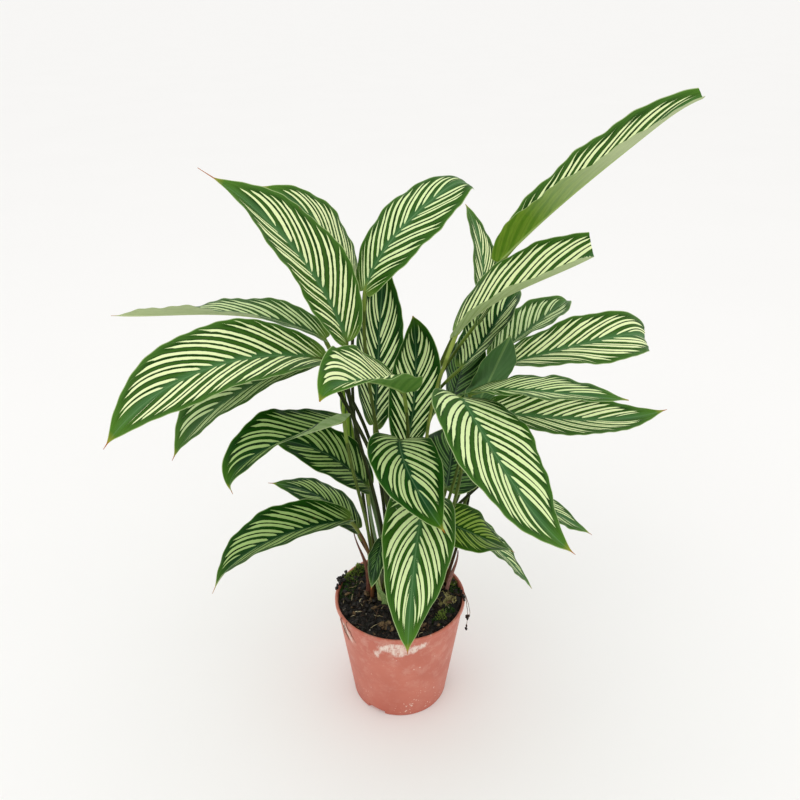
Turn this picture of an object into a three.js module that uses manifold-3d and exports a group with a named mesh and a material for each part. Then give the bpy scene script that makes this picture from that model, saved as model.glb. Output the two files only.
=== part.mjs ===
// Potted white line calathea: a tapered nursery pot filled with dark potting soil, and a clump of
// patterned leaves that each stand on a long thin stalk.
// Millimetres, +Z up. The origin is the middle of the pot's underside, on the surface it stands on.
// The side that the photograph shows faces -Y, and +X is on its right.
import * as THREE from 'three'
import Module from 'manifold-3d'

const wasm = await Module()
wasm.setup()

// Pot
const POT_HEIGHT = 109
const POT_RIM_RADIUS = 60
const POT_BASE_RADIUS = 44.5
const POT_WALL = 1.5
const POT_RIM_BEAD = 0.9
const POT_FLOOR = 1.8
const POT_CORNER = 7.5
const POT_FACETS = 40
const FLOOR_HOLES = 6
const FLOOR_HOLE_RADIUS = 4.5
const FLOOR_HOLE_CIRCLE = 23
const FOOT_NOTCHES = 3
const FOOT_NOTCH_WIDTH = 17
const FOOT_NOTCH_HEIGHT = 4.5
const FOOT_NOTCH_DEPTH = 3.2
const FOOT_NOTCH_START = -120

// Soil
const SOIL_TOP = 104.4
const SOIL_RELIEF = 1.1
const SOIL_GAP = 0.35
const SOIL_SECTORS = 30
const SOIL_RINGS = [12, 24, 36, 47, 54]

// Stalks and blades
const STALK_START = 106
const STALK_SUNK = 22
const STALK_SIDES = 5
const STALK_STEPS = 7
const STALK_RADIUS = 1.1
const STALK_RADIUS_PER_LENGTH = 0.004
const HOLE_PLAY = 0.35
const RIB = [[0.04, 0.75], [0.1, 0.45]]
const RIB_SUNK = 0.8
const BLADE_THICKNESS = 0.7
const BLADE_WIDEST = 0.42
const BLADE_STATIONS = [0, 0.03, 0.1, 0.2, 0.3, 0.4, 0.5, 0.6, 0.7, 0.8, 0.9, 1]
const BLADE_SIDES = [-1, -0.55, 0, 0.55, 1]
const EDGE_WIDTH = 0.5
const TIP_DROP_START = 0.78
const SPINE_STEPS = 200
const SHORTEST_SIDE = 0.12
const SHORTEST_HEIGHT = 0.04
const NEEDLE_ROUNDS = 4

// A leaf's foot in the soil [x, y], how far its stalk bows out at the knee [x, y], how much the stalk's end
// leans into the blade, and the joint where the blade begins [x, y, z]. Then the blade: length and width,
// heading at base and tip (0 is +X, 90 is +Y), climb at base, middle and tip, roll at base and tip, and
// lift and curl of the left and the right half, all in degrees. cup folds the base, drop bends the tip.
// whole is the share of the grown blade that is left where its tip is torn off.
function leaf(name, shape) {
  return { name, lobe: 5, cup: 0, drop: 0, whole: 1, ...shape }
}

const LEAVES = [
  // Leaves of the left clump, from the top down.
  leaf('left_tall', { foot: [-9, 8], knee: [-7, 0], lean: 0.05, joint: [-41, -9, 367],
    length: 158, width: 63, heading: [181, 201], climb: [74, 56, 38], roll: [-40, -28],
    lift: [20, 24], curl: [-8, -8], lobe: 1, cup: 10, wave: 1.7, waves: 2.6, phase: 0, color: 0x7f9f52 }),
  leaf('left_tall_back', { foot: [-22, 13], knee: [-16, 8], lean: 0.15, joint: [-35, 39, 390],
    length: 115, width: 52, heading: [197, 181], climb: [72, 54, 20], roll: [-16, -32],
    lift: [16, 16], curl: [-8, -12], cup: 5, wave: 1.2, waves: 3.2, phase: 70, color: 0x7f9f52 }),
  leaf('left_far', { foot: [-21, 24], knee: [-12, 12], lean: 0.55, joint: [-62, 34, 351],
    length: 178, width: 51, heading: [182, 170], climb: [34, 0, -2], roll: [-16, 36],
    lift: [28, 20], curl: [-16, -8], cup: 10, wave: 1.2, waves: 3.8, phase: 340, color: 0x74905a }),
  leaf('left_broad', { foot: [-6, 2], knee: [13, -23], lean: 0.3, joint: [-62, -4, 351],
    length: 180, width: 69, heading: [203, 210], climb: [20, -10, -48], roll: [-16, -32],
    lift: [20, 20], curl: [-8, -8], lobe: 8, cup: 5, wave: 1.7, waves: 2.6, phase: 40, color: 0x86a65c }),
  leaf('left_broad_under', { foot: [-12, 16], knee: [2, -6], lean: 0.4, joint: [-61, 20, 337],
    length: 153, width: 60, heading: [197, 192], climb: [-2, -28, -58], roll: [-20, -28],
    lift: [32, 32], curl: [0, 0], cup: 10, wave: 1.7, waves: 3.2, phase: 110, color: 0x6d8c4c }),
  leaf('left_arched', { foot: [-12, 3], knee: [9, -6], lean: 0.05, joint: [3, -17, 328],
    length: 106, width: 69, heading: [225, 241], climb: [38, 22, 2], roll: [-8, -24],
    lift: [44, 24], curl: [-12, -8], cup: 5, drop: -40, wave: 1.7, waves: 3.8, phase: 180, color: 0x7d9a5c }),
  leaf('left_middle', { foot: [-25, 8], knee: [2, -13], lean: 0.05, joint: [-44, -22, 306],
    length: 113, width: 62, heading: [220, 207], climb: [-2, -6, -58], roll: [16, -20],
    lift: [40, 24], curl: [-8, -4], drop: -45, wave: 1.7, waves: 2.6, phase: 240, color: 0x5d7d42 }),
  leaf('left_middle_back', { foot: [-16, 11], knee: [-2, -7], lean: 0.15, joint: [-28, 6, 224],
    length: 98, width: 53, heading: [184, 177], climb: [56, 32, 0], roll: [-20, -24],
    lift: [20, 16], curl: [-8, -12], cup: 5, wave: 1.2, waves: 3.2, phase: 310, color: 0x5a7a42 }),
  leaf('left_low', { foot: [-26, 1], knee: [2, -4], lean: 0.4, joint: [-43, -12, 202],
    length: 136, width: 55, heading: [206, 189], climb: [10, -16, -64], roll: [-8, -8],
    lift: [32, 24], curl: [0, -4], cup: 5, wave: 1.2, waves: 3.8, phase: 20, color: 0x5f8046 }),
  leaf('left_low_back', { foot: [-18, 18], knee: [-6, 4], lean: 0.6, joint: [-39, 20, 169],
    length: 91, width: 45, heading: [167, 180], climb: [56, 30, 6], roll: [-4, -4],
    lift: [12, 8], curl: [-12, -20], cup: 10, wave: 1.2, waves: 2.6, phase: 80, color: 0x557540 }),
  // Leaves in the middle.
  leaf('centre_tall', { foot: [-4, 11], knee: [-2, 0], lean: 0.2, joint: [-27, 8, 403],
    length: 129, width: 53, heading: [20, 42], climb: [72, 36, 18], roll: [20, 16],
    lift: [8, 8], curl: [-20, -16], drop: -65, whole: 0.91,
    wave: 1.2, waves: 3.8, phase: 130, color: 0x86a65c }),
  leaf('centre_back', { foot: [-5, 17], knee: [1, 4], lean: 0.55, joint: [-22, 35, 270],
    length: 147, width: 52, heading: [62, 68], climb: [82, 82, 76], roll: [-16, -4],
    lift: [4, 8], curl: [-20, -16], cup: 10, wave: 1.2, waves: 2.6, phase: 200, color: 0x5f8046 }),
  leaf('centre_upright', { foot: [1, 14], knee: [4, 5], lean: 0.7, joint: [5, 4, 261],
    length: 136, width: 48, heading: [68, 85], climb: [54, 86, 142], roll: [-4, 24],
    lift: [32, 28], curl: [0, -4], cup: 10, wave: 1.2, waves: 3.2, phase: 270, color: 0x5f8046 }),
  leaf('front_middle', { foot: [5, 2], knee: [-4, 0], lean: 0.5, joint: [1, -26, 290],
    length: 107, width: 53, heading: [-100, -41], climb: [34, -18, -36], roll: [-4, 8],
    lift: [16, 16], curl: [-12, -12], lobe: 12, cup: 5, wave: 1.2, waves: 3.2, phase: 150, color: 0x6d8c50 }),
  leaf('front_low', { foot: [14, 4], knee: [0, 0], lean: 0.25, joint: [23, -13, 227],
    length: 159, width: 58, heading: [-98, -99], climb: [36, -28, -82], roll: [0, -40],
    lift: [8, 16], curl: [-20, -12], cup: 10, wave: 1.7, waves: 3.8, phase: 220, color: 0x6d8c50 }),
  leaf('front_small', { foot: [-18, 3], knee: [7, -10], lean: 0.15, joint: [-14, -3, 176],
    length: 47, width: 22, heading: [-104, -118], climb: [-8, -44, -74], roll: [20, 24],
    lift: [16, 4], curl: [-12, -20], cup: 5, wave: 0.7, waves: 2.6, phase: 280, color: 0x557540 }),
  leaf('centre_low_back', { foot: [26, 12], knee: [-4, 3], lean: 0.65, joint: [39, -6, 230],
    length: 85, width: 60, heading: [80, 85], climb: [0, 12, 22], roll: [20, 16],
    lift: [20, 8], curl: [-8, -16], cup: 5, wave: 1.7, waves: 2.6, phase: 210, color: 0x4a6a3a }),
  // Leaves of the right clump, from the top down.
  leaf('right_tallest', { foot: [17, 13], knee: [-18, -2], lean: 0.6, joint: [77, 22, 421],
    length: 179, width: 52, heading: [-24, -3], climb: [52, 44, 42], roll: [4, 20],
    lift: [32, 36], curl: [0, 4], cup: 40, drop: -20, whole: 0.9,
    wave: 1.2, waves: 3.8, phase: 100, color: 0x7aa03c }),
  leaf('back_upright', { foot: [33, 17], knee: [-44, -9], lean: 0.45, joint: [64, 56, 355],
    length: 108, width: 42, heading: [119, 119], climb: [114, 78, 36], roll: [36, 28],
    lift: [12, 16], curl: [-12, -12], cup: 10, wave: 1.2, waves: 2.6, phase: 170, color: 0x6d8c50 }),
  leaf('right_folded', { foot: [39, 16], knee: [-23, -19], lean: 0.2, joint: [44, 3, 369],
    length: 125, width: 67, heading: [-18, -29], climb: [56, 33, 36], roll: [36, 44],
    lift: [12, 60], curl: [-16, -4], cup: -10, whole: 0.78,
    wave: 1.2, waves: 3.2, phase: 30, color: 0x7f9f52 }),
  leaf('right_inner', { foot: [24, 25], knee: [-24, 6], lean: 0.7, joint: [53, 42, 322],
    length: 89, width: 52, heading: [24, 59], climb: [36, 44, 12], roll: [-8, -8],
    lift: [24, 28], curl: [-8, -4], cup: -5, wave: 1.2, waves: 3.2, phase: 240, color: 0x5f8046 }),
  leaf('right_inner_low', { foot: [43, 20], knee: [31, 34], lean: 0.05, joint: [46, 52, 282],
    length: 73, width: 47, heading: [39, 58], climb: [72, 64, 46], roll: [-20, 0],
    lift: [4, 8], curl: [-24, -16], cup: 5, wave: 1.2, waves: 3.8, phase: 300, color: 0x4a6a3a }),
  leaf('right_level_back', { foot: [29, 22], knee: [0, 20], lean: 0.05, joint: [84, 77, 315],
    length: 104, width: 50, heading: [22, 54], climb: [34, 20, 12], roll: [-8, 12],
    lift: [24, 28], curl: [-8, -4], cup: 10, drop: -55, wave: 1.2, waves: 3.8, phase: 260, color: 0x6d8c50 }),
  leaf('right_level', { foot: [29, 28], knee: [27, 29], lean: 0.05, joint: [74, 39, 320],
    length: 152, width: 55, heading: [-15, 37], climb: [26, 10, -10], roll: [-8, 48],
    lift: [12, 16], curl: [-12, -12], cup: 15, drop: -35, whole: 0.82,
    wave: 1.7, waves: 3.2, phase: 190, color: 0x86a65c }),
  leaf('right_turned', { foot: [31, 6], knee: [-8, -34], lean: 0.05, joint: [57, 15, 287],
    length: 95, width: 43, heading: [-34, -55], climb: [62, 68, 64], roll: [-4, -16],
    lift: [4, 8], curl: [-20, -16], cup: 5, wave: 1.2, waves: 2.6, phase: 330, color: 0x4c6a34 }),
  leaf('right_flat', { foot: [34, 1], knee: [1, -33], lean: 0.05, joint: [55, -13, 325],
    length: 127, width: 49, heading: [-41, -19], climb: [28, 10, 4], roll: [0, 4],
    lift: [12, 20], curl: [-16, -8], cup: 5, wave: 1.2, waves: 3.8, phase: 60, color: 0x6d8c50 }),
  leaf('right_flat_back', { foot: [35, 28], knee: [28, 28], lean: 0.05, joint: [67, 28, 287],
    length: 167, width: 51, heading: [-5, 16], climb: [-2, -6, 10], roll: [20, 16],
    lift: [16, 20], curl: [-12, -8], cup: 5, wave: 1.2, waves: 2.6, phase: 130, color: 0x6d8c50 }),
  leaf('right_broad', { foot: [18, 23], knee: [-20, 34], lean: 0.7, joint: [46, -27, 329],
    length: 159, width: 72, heading: [-87, -21], climb: [24, -36, -30], roll: [-16, 8],
    lift: [12, 16], curl: [-12, -12], lobe: 13, wave: 1.7, waves: 3.2, phase: 350, color: 0x86a65c }),
  leaf('right_under', { foot: [21, 18], knee: [-8, 9], lean: 0.15, joint: [81, 22, 231],
    length: 110, width: 43, heading: [-7, -5], climb: [-36, -34, -32], roll: [8, 4],
    lift: [8, 16], curl: [-16, -12], cup: 5, wave: 1.2, waves: 3.8, phase: 140, color: 0x5a7a42 }),
  leaf('right_low', { foot: [36, 9], knee: [10, -1], lean: 0.4, joint: [34, 8, 188],
    length: 72, width: 53, heading: [-17, -3], climb: [-12, -22, -26], roll: [32, -20],
    lift: [12, 16], curl: [-16, -12], cup: 5, wave: 1.2, waves: 2.6, phase: 10, color: 0x55763c }),
  leaf('right_low_under', { foot: [36, 22], knee: [0, 0], lean: 0.15, joint: [48, 29, 172],
    length: 115, width: 41, heading: [-2, 1], climb: [-24, -48, -56], roll: [8, 4],
    lift: [12, 20], curl: [-16, -8], cup: 10, wave: 1.2, waves: 3.2, phase: 80, color: 0x5a7a42 }),
]

// Stems with no open blade: radius, the share of the way where they begin to thin, and what is left there.
const STEMS = [
  { name: 'furled_leaf', foot: [-12, 24], knee: [-10, 24], lean: 0.55, joint: [-47, 26, 323],
    radius: 3.1, taper: 0.8, end: 0.2, steps: 12, sides: 8, color: 0x8a9a4e },
  { name: 'dry_sheath_left', foot: [-30, 5], knee: [3, 3], lean: 0.35, joint: [-41, 0, 179],
    radius: 1.5, taper: 0.3, end: 0.35, color: 0x7b4a3c },
  { name: 'dry_sheath_right', foot: [44, 9], knee: [1, 0], lean: 0.05, joint: [54, 22, 142],
    radius: 1.4, taper: 0.4, end: 0.4, color: 0xa0625a },
  { name: 'young_shoot', foot: [-18, -4], knee: [-1, -2], lean: 0.45, joint: [-19, 0, 142],
    radius: 2, taper: 0.2, end: 0.25, color: 0xb9bf7c },
  { name: 'shoot_stub', foot: [-14, -10], knee: [1, 0], lean: 0.15, joint: [-21, -10, 134],
    radius: 2.2, taper: 0.7, end: 0.7, color: 0x7c9a58 },
]

const rad = THREE.MathUtils.degToRad
const UP = new THREE.Vector3(0, 0, 1)

// A closed shape from its corners and its triangles.
function solid(corners, triangles) {
  const vertProperties = new Float32Array(corners.flatMap((p) => [p.x, p.y, p.z]))
  const triVerts = new Uint32Array(triangles.flat())
  return new wasm.Manifold(new wasm.Mesh({ numProp: 3, vertProperties, triVerts }))
}

// The drawn mesh of a solid.
function meshOf(name, body, material) {
  const data = body.getMesh()
  const geometry = new THREE.BufferGeometry()
  geometry.setAttribute('position', new THREE.BufferAttribute(new Float32Array(data.vertProperties), 3))
  geometry.setIndex(new THREE.BufferAttribute(new Uint32Array(data.triVerts), 1))
  const flat = geometry.toNonIndexed()
  flat.computeVertexNormals()
  const mesh = new THREE.Mesh(flat, material)
  mesh.name = name
  return mesh
}

// A closed body through a stack of rings that all have the same number of corners, with flat ends.
function stack(rings) {
  const count = rings[0].length
  const corners = rings.flat()
  const triangles = []
  for (let i = 0; i + 1 < rings.length; i++) {
    for (let j = 0; j < count; j++) {
      const a = i * count + j
      const b = i * count + ((j + 1) % count)
      triangles.push([a, b, b + count], [a, b + count, a + count])
    }
  }
  const last = corners.length - count
  for (let j = 1; j + 1 < count; j++) {
    triangles.push([0, j + 1, j], [last, last + j, last + j + 1])
  }
  return solid(corners, triangles)
}

// A round body of the given radius along a line of points, one radius for each point.
function tube(points, radii, sides) {
  let across = new THREE.Vector3(1, 0, 0)
  const rings = points.map((p, i) => {
    const before = points[Math.max(i - 1, 0)]
    const after = points[Math.min(i + 1, points.length - 1)]
    const along = after.clone().sub(before).normalize()
    across = across.clone().addScaledVector(along, -across.dot(along)).normalize()
    const third = along.clone().cross(across)
    const ring = []
    for (let j = 0; j < sides; j++) {
      const angle = (2 * Math.PI * j) / sides
      const corner = p.clone().addScaledVector(across, radii[i] * Math.cos(angle))
      ring.push(corner.addScaledVector(third, radii[i] * Math.sin(angle)))
    }
    return ring
  })
  return stack(rings)
}

// Half width of a blade from base to tip, as a share of its widest half.
function outline(s) {
  if (s < BLADE_WIDEST) return Math.sqrt(1 - (1 - s / BLADE_WIDEST) ** 2)
  const u = (s - BLADE_WIDEST) / (1 - BLADE_WIDEST)
  return (1 - u ** 2.1) ** 1.1
}

// Direction of the midrib: its heading goes evenly from start to end, and its climb follows a curve
// through three angles, with a sharper droop close to the tip.
function midribAngles(leaf, s) {
  const [start, middle, end] = leaf.climb
  const droop = Math.max(0, (s - TIP_DROP_START) / (1 - TIP_DROP_START))
  const bow = start * (1 - s) * (1 - 2 * s) + 4 * middle * s * (1 - s) + end * s * (2 * s - 1)
  const climb = bow + leaf.drop * droop ** 2
  const heading = leaf.heading[0] + (leaf.heading[1] - leaf.heading[0]) * s
  return [rad(heading), rad(climb)]
}

function midribDirection(leaf, s) {
  const [heading, climb] = midribAngles(leaf, s)
  const level = Math.cos(climb)
  return new THREE.Vector3(Math.cos(heading) * level, Math.sin(heading) * level, Math.sin(climb))
}

// Points along the midrib, added up in short steps from the joint.
function midribPoints(leaf) {
  const points = [new THREE.Vector3(...leaf.joint)]
  for (let i = 1; i <= SPINE_STEPS; i++) {
    const step = midribDirection(leaf, (i - 1) / SPINE_STEPS).add(midribDirection(leaf, i / SPINE_STEPS))
    points.push(points[i - 1].clone().addScaledVector(step, leaf.length / SPINE_STEPS / 2))
  }
  return points
}

function midribPoint(points, s) {
  const at = Math.min(Math.max(s, 0), 1) * SPINE_STEPS
  const i = Math.min(Math.floor(at), SPINE_STEPS - 1)
  return points[i].clone().lerp(points[i + 1], at - i)
}

// One point of the blade: s runs from base to tip, side from -1 at the right edge to 1 at the left edge.
// Each half leaves the midrib at its lift and bends by its curl; the edge waves and the base lobes
// reach back past the joint.
function bladePoint(leaf, points, s, side) {
  const [heading] = midribAngles(leaf, s)
  const along = midribDirection(leaf, s)
  const level = new THREE.Vector3(-Math.sin(heading), Math.cos(heading), 0)
  const normal = along.clone().cross(level)
  const roll = rad(leaf.roll[0] + (leaf.roll[1] - leaf.roll[0]) * s)
  const left = level.clone().multiplyScalar(Math.cos(roll)).addScaledVector(normal, Math.sin(roll))
  const face = normal.clone().multiplyScalar(Math.cos(roll)).addScaledVector(level, -Math.sin(roll))
  const half = side >= 0 ? 0 : 1
  const v = Math.abs(side)
  const width = (leaf.width / 2) * outline(s * leaf.whole) + EDGE_WIDTH
  const lift = rad(leaf.lift[half] + leaf.cup * (1 - s) ** 3)
  const curl = rad(leaf.curl[half]) || 0.001
  const out = (width * (Math.sin(lift + curl * v) - Math.sin(lift))) / curl
  const rise = (width * (Math.cos(lift) - Math.cos(lift + curl * v))) / curl
  const turn = 2 * Math.PI * leaf.waves * s + rad(leaf.phase) + (half ? 2 : 0)
  const wave = leaf.wave * v * v * Math.sin(Math.PI * s) * Math.sin(turn)
  const back = leaf.lobe * v * (1 - s) ** 8 * Math.min(1, 4 * outline(s))
  return midribPoint(points, s)
    .addScaledVector(left, side >= 0 ? out : -out)
    .addScaledVector(face, rise + wave)
    .addScaledVector(along, -back)
}

// The blade as a thin closed sheet, both faces split into triangles in the same way. Each corner stands
// half the thickness off the middle surface, square to the triangles that meet there.
function blade(leaf) {
  const spine = midribPoints(leaf)
  const rows = BLADE_STATIONS.length
  const cols = BLADE_SIDES.length
  const middle = BLADE_STATIONS.flatMap((s) => BLADE_SIDES.map((side) => bladePoint(leaf, spine, s, side)))
  const faces = []
  for (let i = 0; i + 1 < rows; i++) {
    for (let j = 0; j + 1 < cols; j++) {
      const a = i * cols + j
      faces.push([a, a + cols, a + cols + 1], [a, a + cols + 1, a + 1])
    }
  }
  const square = middle.map(() => new THREE.Vector3())
  for (const [a, b, c] of faces) {
    const turn = middle[b].clone().sub(middle[a]).cross(middle[c].clone().sub(middle[a]))
    for (const corner of [a, b, c]) square[corner].add(turn)
  }
  for (const direction of square) direction.normalize()
  const upper = middle.map((p, i) => p.clone().addScaledVector(square[i], BLADE_THICKNESS / 2))
  const lower = middle.map((p, i) => p.clone().addScaledVector(square[i], -BLADE_THICKNESS / 2))
  const shift = rows * cols
  const triangles = faces.flatMap(([a, b, c]) => [[a, b, c], [a + shift, c + shift, b + shift]])
  const edge = (a, b) => triangles.push([a, b + shift, b], [a, a + shift, b + shift])
  for (let i = 0; i + 1 < rows; i++) {
    edge(i * cols, (i + 1) * cols)
    edge((i + 1) * cols + cols - 1, i * cols + cols - 1)
  }
  for (let j = 0; j + 1 < cols; j++) {
    edge(j + 1, j)
    edge((rows - 1) * cols + j, (rows - 1) * cols + j + 1)
  }
  return solid([...upper, ...lower], triangles)
}

function stalkRadius(leaf) {
  return leaf.radius ?? STALK_RADIUS + STALK_RADIUS_PER_LENGTH * leaf.length
}

// The stalk's line: up out of the soil at the foot, bent by the knee, and into the blade's own direction.
function stalkCurve(leaf) {
  const foot = new THREE.Vector3(leaf.foot[0], leaf.foot[1], STALK_START)
  const joint = new THREE.Vector3(...leaf.joint)
  const knee = new THREE.Vector3(leaf.knee[0], leaf.knee[1], 0)
  const rise = joint.z - foot.z
  const start = leaf.climb ? midribDirection(leaf, 0) : UP.clone()
  const lean = UP.clone().multiplyScalar(1 - leaf.lean).addScaledVector(start, leaf.lean).normalize()
  const low = foot.clone().addScaledVector(UP, rise / 2).add(knee)
  const high = joint.clone().addScaledVector(lean, -0.3 * Math.min(Math.max(rise, 60), 4 * rise)).add(knee)
  return new THREE.CubicBezierCurve3(foot, low, high, joint)
}

// The stalk is thickest at its foot, and swells a little below the blade.
function stalk(leaf) {
  const curve = stalkCurve(leaf)
  const radius = stalkRadius(leaf)
  const points = [new THREE.Vector3(leaf.foot[0], leaf.foot[1], STALK_START - STALK_SUNK)]
  const radii = [radius * 1.1]
  for (let i = 0; i <= STALK_STEPS; i++) {
    const u = i / STALK_STEPS
    points.push(curve.getPoint(u))
    radii.push(radius * (u < 0.5 ? 1.1 - 0.2 * u : 0.95 + 0.1 * u))
  }
  return { points, radii }
}

// The main body of a joined shape: a hollow that the joining sealed is filled and a loose scrap is dropped.
function whole(body) {
  return body.decompose().sort((a, b) => b.volume() - a.volume())[0]
}

// Where the triangle's longest side starts, and how far the third corner stands off that side.
function longestSide(corners, triangle) {
  const sides = triangle.map((a, k) => corners[a].distanceTo(corners[triangle[(k + 1) % 3]]))
  const k = sides.indexOf(Math.max(...sides))
  const [a, b, c] = [0, 1, 2].map((n) => corners[triangle[(k + n) % 3]])
  const across = b.clone().sub(a).cross(c.clone().sub(a)).length()
  return { k, height: across / sides[k] }
}

// Closes up the needles that a joining leaves along its seam. Two corners closer than the shortest side
// are drawn together where the surface stays one sheet, and where a corner all but touches the side across
// from it, that side is turned to start at the corner.
function withoutNeedles(body) {
  const data = body.getMesh()
  const corners = []
  for (let i = 0; i < data.vertProperties.length; i += 3) {
    corners.push(new THREE.Vector3().fromArray(data.vertProperties, i))
  }
  let triangles = []
  for (let i = 0; i < data.triVerts.length; i += 3) {
    triangles.push([...data.triVerts.slice(i, i + 3)])
  }
  const around = (corner) => new Set(triangles.filter((t) => t.includes(corner)).flat())
  const canClose = (a, b) => {
    if (corners[a].distanceTo(corners[b]) > SHORTEST_SIDE) return false
    const besideA = around(a)
    return [...around(b)].filter((corner) => besideA.has(corner)).length === 4
  }
  for (let round = 0; round < NEEDLE_ROUNDS; round++) {
    for (let i = 0; i < triangles.length; i++) {
      const [a, b, c] = triangles[i]
      const side = [[a, b], [b, c], [c, a]].find(([p, q]) => canClose(p, q))
      if (!side) continue
      const joined = triangles.map((t) => t.map((corner) => (corner === side[1] ? side[0] : corner)))
      triangles = joined.filter(([p, q, r]) => p !== q && q !== r && r !== p)
      i = -1
    }
    for (const triangle of triangles) {
      const { k, height } = longestSide(corners, triangle)
      if (height > SHORTEST_HEIGHT) continue
      const [a, b, c] = [0, 1, 2].map((n) => triangle[(k + n) % 3])
      const other = triangles.find((t) => t !== triangle && t.includes(a) && t.includes(b))
      const far = other.find((corner) => corner !== a && corner !== b)
      if (around(c).has(far)) continue
      triangle.splice(0, 3, a, far, c)
      other.splice(0, 3, far, b, c)
    }
  }
  return whole(solid(corners, triangles))
}

// The stalk ends at the joint, and a short rib goes on under the blade.
function leafBody(leaf) {
  const { points, radii } = stalk(leaf)
  const spine = midribPoints(leaf)
  const radius = stalkRadius(leaf)
  const rib = [spine[0]]
  for (const [s, share] of RIB) {
    const middle = midribPoint(spine, s)
    const ahead = bladePoint(leaf, spine, s + 0.01, 0).sub(bladePoint(leaf, spine, s, 0))
    const left = bladePoint(leaf, spine, s, 0.1).sub(bladePoint(leaf, spine, s, -0.1))
    const below = ahead.cross(left).normalize()
    rib.push(middle.addScaledVector(below, -radius * share * RIB_SUNK))
  }
  const ribRadii = [1, ...RIB.map(([, share]) => share)].map((share) => radius * share)
  const joined = blade(leaf).add(tube(points, radii, STALK_SIDES)).add(tube(rib, ribRadii, STALK_SIDES))
  return withoutNeedles(whole(joined).simplify(SHORTEST_HEIGHT))
}


// A round body turned from a closed outline of [radius, height] pairs.
function turned(profile, facets) {
  const rings = profile.map(([radius, height]) => {
    const ring = []
    for (let j = 0; j < facets; j++) {
      const angle = (2 * Math.PI * j) / facets
      ring.push(new THREE.Vector3(radius * Math.cos(angle), radius * Math.sin(angle), height))
    }
    return ring
  })
  return stack(rings)
}

// A plain block, its middle at the given point, turned about Z.
function block(size, middle, turnDegrees) {
  const turn = rad(turnDegrees)
  const corner = (x, y, z) => {
    const p = new THREE.Vector3(x * size[0], y * size[1], z * size[2]).applyAxisAngle(UP, turn)
    return p.add(middle)
  }
  const ring = (z) => [corner(-0.5, -0.5, z), corner(0.5, -0.5, z), corner(0.5, 0.5, z), corner(-0.5, 0.5, z)]
  return stack([ring(-0.5), ring(0.5)])
}

function polar(radius, degrees, z) {
  return new THREE.Vector3(radius * Math.cos(rad(degrees)), radius * Math.sin(rad(degrees)), z)
}

// Outer radius of the pot's wall at a height.
function wallRadius(z) {
  return POT_BASE_RADIUS + ((POT_RIM_RADIUS - POT_RIM_BEAD - POT_BASE_RADIUS) * z) / POT_HEIGHT
}

function potBody() {
  const outside = turned([
    [POT_BASE_RADIUS - 1.2, 0],
    [wallRadius(1.2), 1.2],
    [wallRadius(POT_HEIGHT - 5), POT_HEIGHT - 5],
    [POT_RIM_RADIUS, POT_HEIGHT - 3.6],
    [POT_RIM_RADIUS, POT_HEIGHT - 0.5],
    [POT_RIM_RADIUS - 0.5, POT_HEIGHT],
  ], POT_FACETS)
  const inner = (z) => wallRadius(z) - POT_WALL
  const inside = turned([
    [inner(POT_CORNER) - POT_CORNER + POT_FLOOR, POT_FLOOR],
    [inner(POT_CORNER), POT_CORNER],
    [inner(POT_HEIGHT - 2), POT_HEIGHT - 2],
    [inner(POT_HEIGHT + 5), POT_HEIGHT + 5],
  ], POT_FACETS)
  let body = outside.subtract(inside)
  for (let i = 0; i < FLOOR_HOLES; i++) {
    const turn = (360 / FLOOR_HOLES) * i
    const ends = [polar(FLOOR_HOLE_CIRCLE, turn, -1), polar(FLOOR_HOLE_CIRCLE, turn, POT_FLOOR + 1)]
    body = body.subtract(tube(ends, [FLOOR_HOLE_RADIUS, FLOOR_HOLE_RADIUS], 12))
  }
  for (let i = 0; i < FOOT_NOTCHES; i++) {
    const turn = (360 / FOOT_NOTCHES) * i + FOOT_NOTCH_START
    const size = [2 * FOOT_NOTCH_DEPTH, FOOT_NOTCH_WIDTH, 2 * FOOT_NOTCH_HEIGHT]
    body = body.subtract(block(size, polar(POT_BASE_RADIUS + 0.4, turn, 0), turn))
  }
  return body
}

// Height of the soil's surface: low mounds and hollows, highest round the stalks.
function soilHeight(x, y) {
  const mounds = Math.sin(x / 9 + 1.2) * Math.cos(y / 8 - 0.4) + 0.6 * Math.sin(x / 4.3 - y / 5.1)
  const edge = Math.min(1, (POT_RIM_RADIUS - Math.hypot(x, y)) / 12)
  return SOIL_TOP + SOIL_RELIEF * mounds * edge
}

// The soil fills the pot with a hair of play, and has a plain hole for each stalk.
function soilBody(stems) {
  const inner = (z) => wallRadius(z) - POT_WALL - SOIL_GAP
  const ring = (radius, height) => {
    const points = []
    for (let j = 0; j < SOIL_SECTORS; j++) {
      const p = polar(radius, (360 * j) / SOIL_SECTORS, 0)
      p.z = height ?? soilHeight(p.x, p.y)
      points.push(p)
    }
    return points
  }
  const foot = POT_FLOOR + SOIL_GAP
  const corner = inner(POT_CORNER) - POT_CORNER + POT_FLOOR
  const low = ring(inner(POT_CORNER) - 0.1, POT_CORNER + 0.1)
  const rings = [ring(corner, foot), low, ring(inner(SOIL_TOP - 1))]
  for (const radius of [...SOIL_RINGS].reverse()) rings.push(ring(radius))
  let body = stack(rings)
  for (const stem of stems) {
    const { radii } = stalk(stem)
    const size = Math.max(radii[0], radii[1]) + HOLE_PLAY
    const low = new THREE.Vector3(stem.foot[0], stem.foot[1], STALK_START - STALK_SUNK - HOLE_PLAY)
    const high = new THREE.Vector3(stem.foot[0], stem.foot[1], STALK_START + 8)
    body = body.subtract(tube([low, high], [size / Math.cos(Math.PI / 6), size / Math.cos(Math.PI / 6)], 6))
  }
  return body
}

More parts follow.
